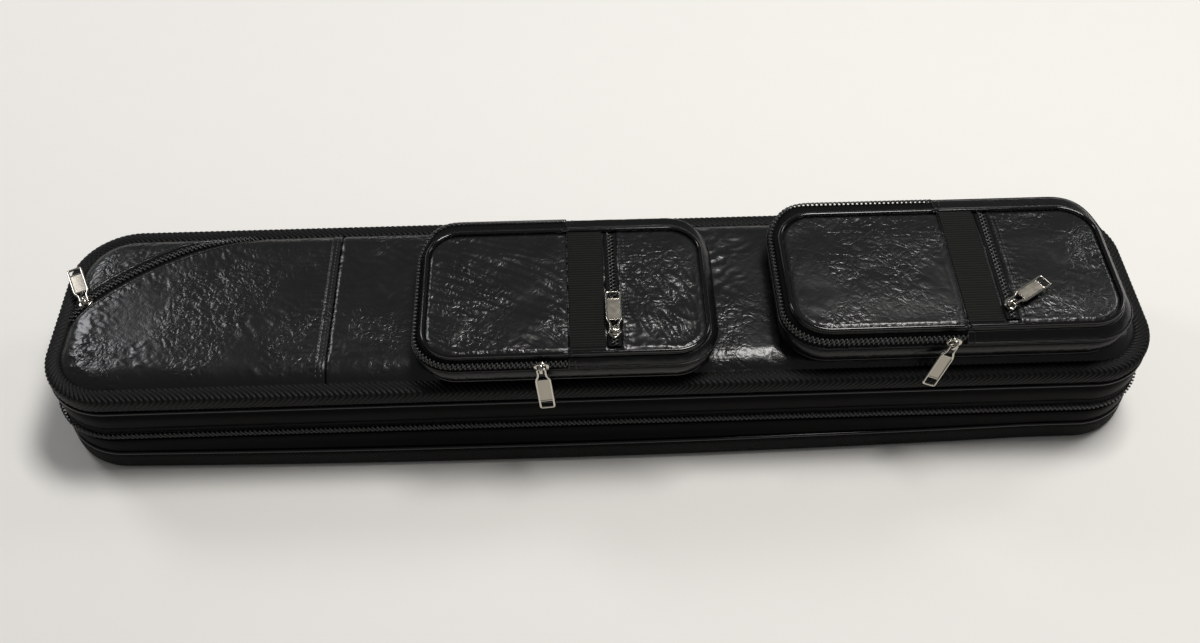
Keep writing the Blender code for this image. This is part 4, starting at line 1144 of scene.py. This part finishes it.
def make_pocket(word, pocket):
    """One accessory pocket, from its flange up to its piping, webbing and short zipper."""
    low, middle, high = pocket["zip_z"] - 0.0045, pocket["zip_z"], pocket["zip_z"] + 0.0040
    top, hinge, seed = pocket["top"], pocket["hinge_x"], pocket["seed"]
    foot, foot_share = FLANGE_Z + 0.0002, pocket["foot_share"]
    face_y = pocket["face"][0][1]
    left, right = pocket_sides(pocket)
    every = np.concatenate([left[:-1], right[:-1]])
    slow = np.linspace(0, girth(pocket["outer"]), 420)[:-1]

    # The flange that is sewn to the lid: a thin sheet with a corded edge and a row of stitches.
    base = Piece(word + "_flange")
    edge = foot_share - 0.42
    levels = [(edge, 0.0, 0.0912), (edge, 0.0004, 0.0926)]
    levels = np.array(levels + [(share, 0, 0.0934) for share in (edge + 0.1, foot_share, 1.6, 2.6)])
    share, offset, level = levels.T[:, None]
    points = pocket_ring(pocket, slow[:, None], share, offset, level)
    rough = 0.00025 * noise(points[..., 0] / 0.006, points[..., 1] / 0.006, seed + 40)
    points[..., 2] += rough * (share < 1.5)
    base.grid(points, "gusset_leatherette", away=points - (0, 0, 1), around=True)
    welt = pocket_ring(pocket, slow, edge, 0.0002, 0.0925)
    base.tube(welt, 0.9 * MM, "welt_piping", closed=True, sides=8)
    seam = pocket_ring(pocket, slow, edge + 0.22, 0.0, 0.0937)
    stitches(base, seam, (0, 0, 1.0), pitch=3.2 * MM, length=2.3 * MM)
    base.build("lid", [word + "_pocket_back"])

    # The wall below the zipper bulges: narrow at its foot, widest below the zipper.
    wall = Piece(word + "_wall")
    outer = [
        (foot_share, 0, foot + 0.0010), (foot_share * 0.45, 0.0004, foot + 0.0030),
        (0.06, 0.0006, foot + 0.0075), (0.0, 0.0004, (foot + 0.0075 + low) / 2), (0.0, 0.0, low - 0.0006),
    ]
    inner = [(foot_share, -0.0022, foot + 0.0010), (0.0, -0.0022, foot + 0.0075), (0.0, -0.0022, low - 0.0006)]
    ring_band(wall, pocket, every, "gusset_leatherette", outer, inner, gather=0.35 * MM, seed=seed, around=True)
    lip = pocket_ring(pocket, slow, 0.0, 0.0002, low - 0.0008)
    wall.tube(lip, 0.75 * MM, "gusset_leatherette", closed=True, sides=8)
    wall.build("lid", [word + "_pocket_wall"])

    # The zipper round the left half: tape and half a coil on the wall, the other half on the flap.
    below = Piece(word + "_zip_below")
    outer = [(0.0, 0.0, low), (0.17, 0.0, (low + middle) / 2), (0.34, 0.0, middle - 0.0004)]
    inner = [(0.0, -0.0009, low), (0.34, -0.0009, middle - 0.0004)]
    ring_band(below, pocket, left, "zipper_tape", outer, inner, caps=True)
    path = pocket_ring(pocket, left, 0.37, 0.0017, middle + 0.0008)
    across = pocket_ring(pocket, left, 0.60, 0.0, high) - pocket_ring(pocket, left, 0.14, 0.0, low)
    coil(below, path, across, -1)
    below.build("lid", [word + "_zip_lower"], "zipper_nylon")
    above = Piece(word + "_zip_above")
    outer = [(0.40, 0.0, middle + 0.0004), (0.58, 0.0, middle + 0.0022), (0.78, 0.0, high)]
    inner = [(0.40, -0.0009, middle + 0.0004), (0.78, -0.0009, high)]
    ring_band(above, pocket, left, "zipper_tape", outer, inner, caps=True)
    coil(above, path, across, 1)
    above.build(word + "_flap", [word + "_zip_upper"], "zipper_nylon")

    # The leather strip that carries on from the zipper round the right half, with a folded end.
    cover = Piece(word + "_cover")
    outer = [
        (0.0, 0.0008, low), (0.16, 0.0016, (low + middle) / 2), (0.38, 0.0018, middle),
        (0.60, 0.0014, middle + 0.0024), (0.80, 0.0006, high + 0.0004),
    ]
    inner = [(0.0, -0.0012, low), (0.38, -0.0012, middle), (0.80, -0.0012, high)]
    ring_band(cover, pocket, right, "gusset_leatherette", outer, inner, gather=0.30 * MM, seed=seed + 3, caps=True)
    ridge = pocket_ring(pocket, right, 0.12, 0.0016, (low + middle) / 2 - 0.0004)
    cover.tube(ridge, 0.6 * MM, "gusset_leatherette", sides=6)
    up_wall = np.linspace(low + 0.0006, high, 12)
    for at in (0, 5, -1, -6):
        fold = pocket_ring(pocket, right[at], np.linspace(0.02, 0.78, 12), 0.0016, up_wall)
        cover.tube(fold, 0.75 * MM, "gusset_leatherette", sides=8)
    cover.build("lid", [word + "_zip_cover"])

    # The two halves of the padded face, each with the rim that turns down to the zipper.
    for is_left, s, body, node, name in (
        (True, left, word + "_flap", word + "_pocket_flap", word + "_flap_leather"),
        (False, right, "lid", word + "_pocket_top", word + "_face_leather"),
    ):
        x, y, edge = face_half(pocket, is_left, 150, 0.85 * MM)
        z = face_height(pocket, x, y, edge) + CRINKLES[word](x, y, is_left) * smooth(0.001, 0.010, edge)
        z = z + pucker(x - 0.6 * y, edge, seed + 5, reach=5 * MM, size=3.4 * MM) * smooth(0.0005, 0.002, edge)
        if is_left:
            near = hinge - x
            level = face_height(pocket, x, y, edge) - 0.9 * MM
            z = level + (z - level) * smooth(-0.0005, 0.0070, near)
        else:
            past_zip = x - hinge - LID_ZIP_X
            z = z - 1.2 * MM * smooth(0.0062, 0.0030, np.abs(past_zip))
            z = z + 0.5 * MM * np.exp(-(((past_zip - 0.0068) / 0.0014) ** 2))
            gathers = pucker(y, past_zip - 0.008, seed + 6, reach=7 * MM, size=2.4 * MM)
            z = z + gathers * smooth(0.006, 0.009, past_zip) * 1.3
            z = np.where(x < hinge + 0.0282, np.minimum(z, top + 0.0001), z)
        face = Piece(name)
        pillow(face, x, y, z, top - 0.0028)
        rim_outer = [(0.80, 0.0, high + 0.0004), (0.92, 0.0004, (high + top) / 2), (1.0, 0.0, top - 0.0018)]
        rim_inner = [(0.80, -0.0018, high + 0.0004), (1.0, -0.0018, top - 0.0018)]
        ring_band(face, pocket, s, "gusset_leatherette", rim_outer, rim_inner, caps=True)
        if not is_left:
            for offset in (0.0068, 0.0102):
                at = np.linspace(face_y - 0.052, face_y + 0.050, 60)
                height = np.full(60, top + 0.0014 if offset < 0.008 else top + 0.0010)
                row = np.stack([np.full(60, hinge + LID_ZIP_X + offset), at, height], -1)
                stitches(face, row, (0, 0, 1.0), pitch=3.4 * MM, length=2.3 * MM)
        face.build(body, [node], padded=0.8)

    # Piping round the face, in two lengths that part at the hinge line.
    for s, body, node, name in (
        (left[3:-3], word + "_flap", word + "_flap_piping", word + "_flap_welt"),
        (right[2:-2], "lid", word + "_top_piping", word + "_face_welt"),
    ):
        path = pocket_ring(pocket, s, 1.0, 0.0001, top - 0.0004)
        cord = Piece(name).tube(path, 1.6 * MM, "welt_piping", sides=12)
        seam = pocket_ring(pocket, s, 0.97, 0.0010, top - 0.0018)
        cord.tube(seam, 0.5 * MM, "gusset_leatherette", sides=6)
        cord.build(body, [node], "welt_piping")

    # Ribbed webbing over the hinge line.
    reach = pocket["face"][1][1] - 0.0016
    y = np.linspace(face_y - reach, face_y + reach, int(2 * reach / (0.35 * MM)))[:, None]
    x = hinge + 0.0008 + WEBBING * np.linspace(0, 1, 40)[None]
    rib = 0.45 * MM * np.abs(np.sin(np.pi * y / WEBBING_RIB)) ** 0.7
    knots = 0.12 * MM * np.sin(2 * np.pi * x / (1.6 * MM) + np.pi * np.floor(y / WEBBING_RIB))
    end = smooth(0.0, 0.0035, reach - np.abs(y - face_y))
    z = top - 0.0004 + 0.0010 * end + (rib + knots * 0.8) * np.ones_like(x)
    strap = Piece(word + "_hinge_webbing")
    upper = together(x, y, z)
    under = together(x[:, [-1, 0]], y, top - 0.0010)
    points = np.concatenate([upper, under], 1)
    middle_line = points.mean(1, keepdims=True) - (0, 0, 0.0006)
    strap.grid(points, "ribbed_webbing", away=middle_line, across=True, u=y[:, 0], caps=True)
    strap.build("lid", [word + "_webbing"], "webbing")

    # The short zipper on the face.
    reach -= 0.003
    y = np.linspace(face_y - reach, face_y + reach, 160)
    x = hinge + LID_ZIP_X + np.zeros(160)
    tape = Piece(word + "_face_zip")
    across_x = np.array([-0.0050, -0.0030, 0.0030, 0.0050, 0.0050, -0.0050])[None]
    heights = np.array([0.0004, 0.0002, 0.0002, 0.0004, -0.0012, -0.0012])[None]
    points = together(x[:, None] + across_x, y[:, None], top + heights)
    tape.shell(points, "zipper_tape", u=y, caps=True)
    path = np.stack([x, y, np.full(160, top + 0.0011)], -1)
    sideways = np.tile((-1.0, 0.0, 0.0), (160, 1))
    for way in (-1, 1):
        coil(tape, path, sideways, way, reach=1.45 * MM, height=0.8 * MM, wire=0.55 * MM)
    tape.build("lid", [word + "_lid_zip"], "zipper_nylon")


def mid_crinkle(x, y, is_left):
    """Strong folds that run down towards the front right, over finer crumples."""
    turn = math.radians(52 if is_left else 38)
    fold = crinkle(x, y, 31, coarse=1.0, fine=1.2, size=1.0, turn=turn, stretch=2.6)
    front = smooth(0.035, -0.030, y + 0.25 * x)
    turn = math.radians(50 if is_left else 36)
    across, along = math.cos(turn) * x + math.sin(turn) * y, math.cos(turn) * y - math.sin(turn) * x
    long = noise((across + 0.10 * along**2 / 0.05) / 0.0085, along / 0.042, 61)
    fold = fold - np.sqrt(long**2 + 0.0016) * 2.4 * MM * smooth(-0.2, 0.3, noise(x / 0.05, y / 0.04, 62) + 0.2)
    return fold * (0.35 + 0.8 * front) + 0.25 * crinkle(x, y, 37, fine=1.2, size=0.8)


def right_crinkle(x, y, is_left):
    """Fine random crumples, smoother in a band along the front."""
    quiet = 0.35 + 0.65 * smooth(-0.046, -0.030, y)
    return crinkle(x, y, 47 if is_left else 53, coarse=0.8, fine=1.3, size=1.5, turn=0.6, stretch=1.6) * quiet


CRINKLES = {"mid": mid_crinkle, "right": right_crinkle}


def make_pockets():
    """Both pockets."""
    for word, pocket in POCKETS.items():
        make_pocket(word, pocket)


# ---- Floor, light and camera ----
def make_studio():
    """A pale floor, a weak even world, three rectangular lamps and the camera."""
    scene = bpy.context.scene
    scene.view_settings.view_transform = "Standard"
    mesh = bpy.data.meshes.new("floor")
    mesh.from_pydata([(-6, -6, 0), (6, -6, 0), (6, 6, 0), (-6, 6, 0)], [], [(0, 1, 2, 3)])
    floor = bpy.data.objects.new("floor", mesh)
    floor.location.z = -0.0002
    scene.collection.objects.link(floor)
    make_plain("studio_paper", "#ECEAE6", "#EEECE8", 0.9, 30.0, 0.0, Specular_IOR_Level=0.1)
    mesh.materials.append(FINISHES["studio_paper"])

    world = bpy.data.worlds.new("studio")
    scene.world = world
    world.use_nodes = True
    world.node_tree.nodes["Background"].inputs["Color"].default_value = linear("#F4F5F5")
    world.node_tree.nodes["Background"].inputs["Strength"].default_value = 0.16
    for name, place, aim, size, power, tint in LIGHTS:
        light = bpy.data.lights.new(name, "AREA")
        light.shape, (light.size, light.size_y) = "RECTANGLE", size
        light.energy, light.color = power, linear(tint)[:3]
        lamp = bpy.data.objects.new(name, light)
        scene.collection.objects.link(lamp)
        lamp.matrix_world = looking(place, aim)

    data = bpy.data.cameras.new("camera")
    data.lens, data.sensor_width = 37.73, 36.0
    camera = bpy.data.objects.new("camera", data)
    scene.collection.objects.link(camera)
    camera.matrix_world = camera_matrix()
    scene.camera = camera


LIGHTS = (
    ("overhead", (0.55, 0.34, 2.3), (0.14, 0, 0), (0.9, 0.6), 43.0, "#FFFDFA"),
    ("left_back", (-1.30, 0.92, 1.10), (-0.3, 0, 0.05), (0.45, 0.5), 6.5, "#FBFCFF"),
    ("right_back", (1.95, 1.0, 1.4), (0.3, 0, 0.05), (0.6, 0.6), 8.0, "#FFFFFF"),
)


def looking(place, aim):
    """A matrix at `place` whose -Z looks at `aim`."""
    back = np.array(place, float) - np.array(aim, float)
    back /= np.linalg.norm(back)
    right = np.cross((0, 1, 0) if abs(back[2]) > 0.999 else (0, 0, 1), back)
    right /= np.linalg.norm(right)
    matrix = np.eye(4)
    matrix[:3, 0], matrix[:3, 1], matrix[:3, 2], matrix[:3, 3] = right, np.cross(back, right), back, place
    return Matrix(matrix.tolist())


def camera_matrix():
    """A camera that looks down by pitch, turned by yaw and rolled a little."""
    pitch, yaw, roll = 0.8743, 0.0266, -0.0088
    forward = np.array([math.sin(yaw) * math.cos(pitch), math.cos(yaw) * math.cos(pitch), -math.sin(pitch)])
    right = np.array([math.cos(yaw), -math.sin(yaw), 0.0])
    up = np.cross(right, forward)
    matrix = np.eye(4)
    matrix[:3, 0] = math.cos(roll) * right + math.sin(roll) * up
    matrix[:3, 1] = -math.sin(roll) * right + math.cos(roll) * up
    matrix[:3, 2] = -forward
    matrix[:3, 3] = (-0.0167, -0.6506, 0.8343)
    return Matrix(matrix.tolist())


def main():
    """Builds everything."""
    make_finishes()
    make_base()
    make_cradles()
    make_handle()
    make_main_zipper()
    make_spine()
    make_lid_shell()
    make_lid_panels()
    make_arc_zipper()
    make_pockets()
    make_sliders()
    make_studio()


main()
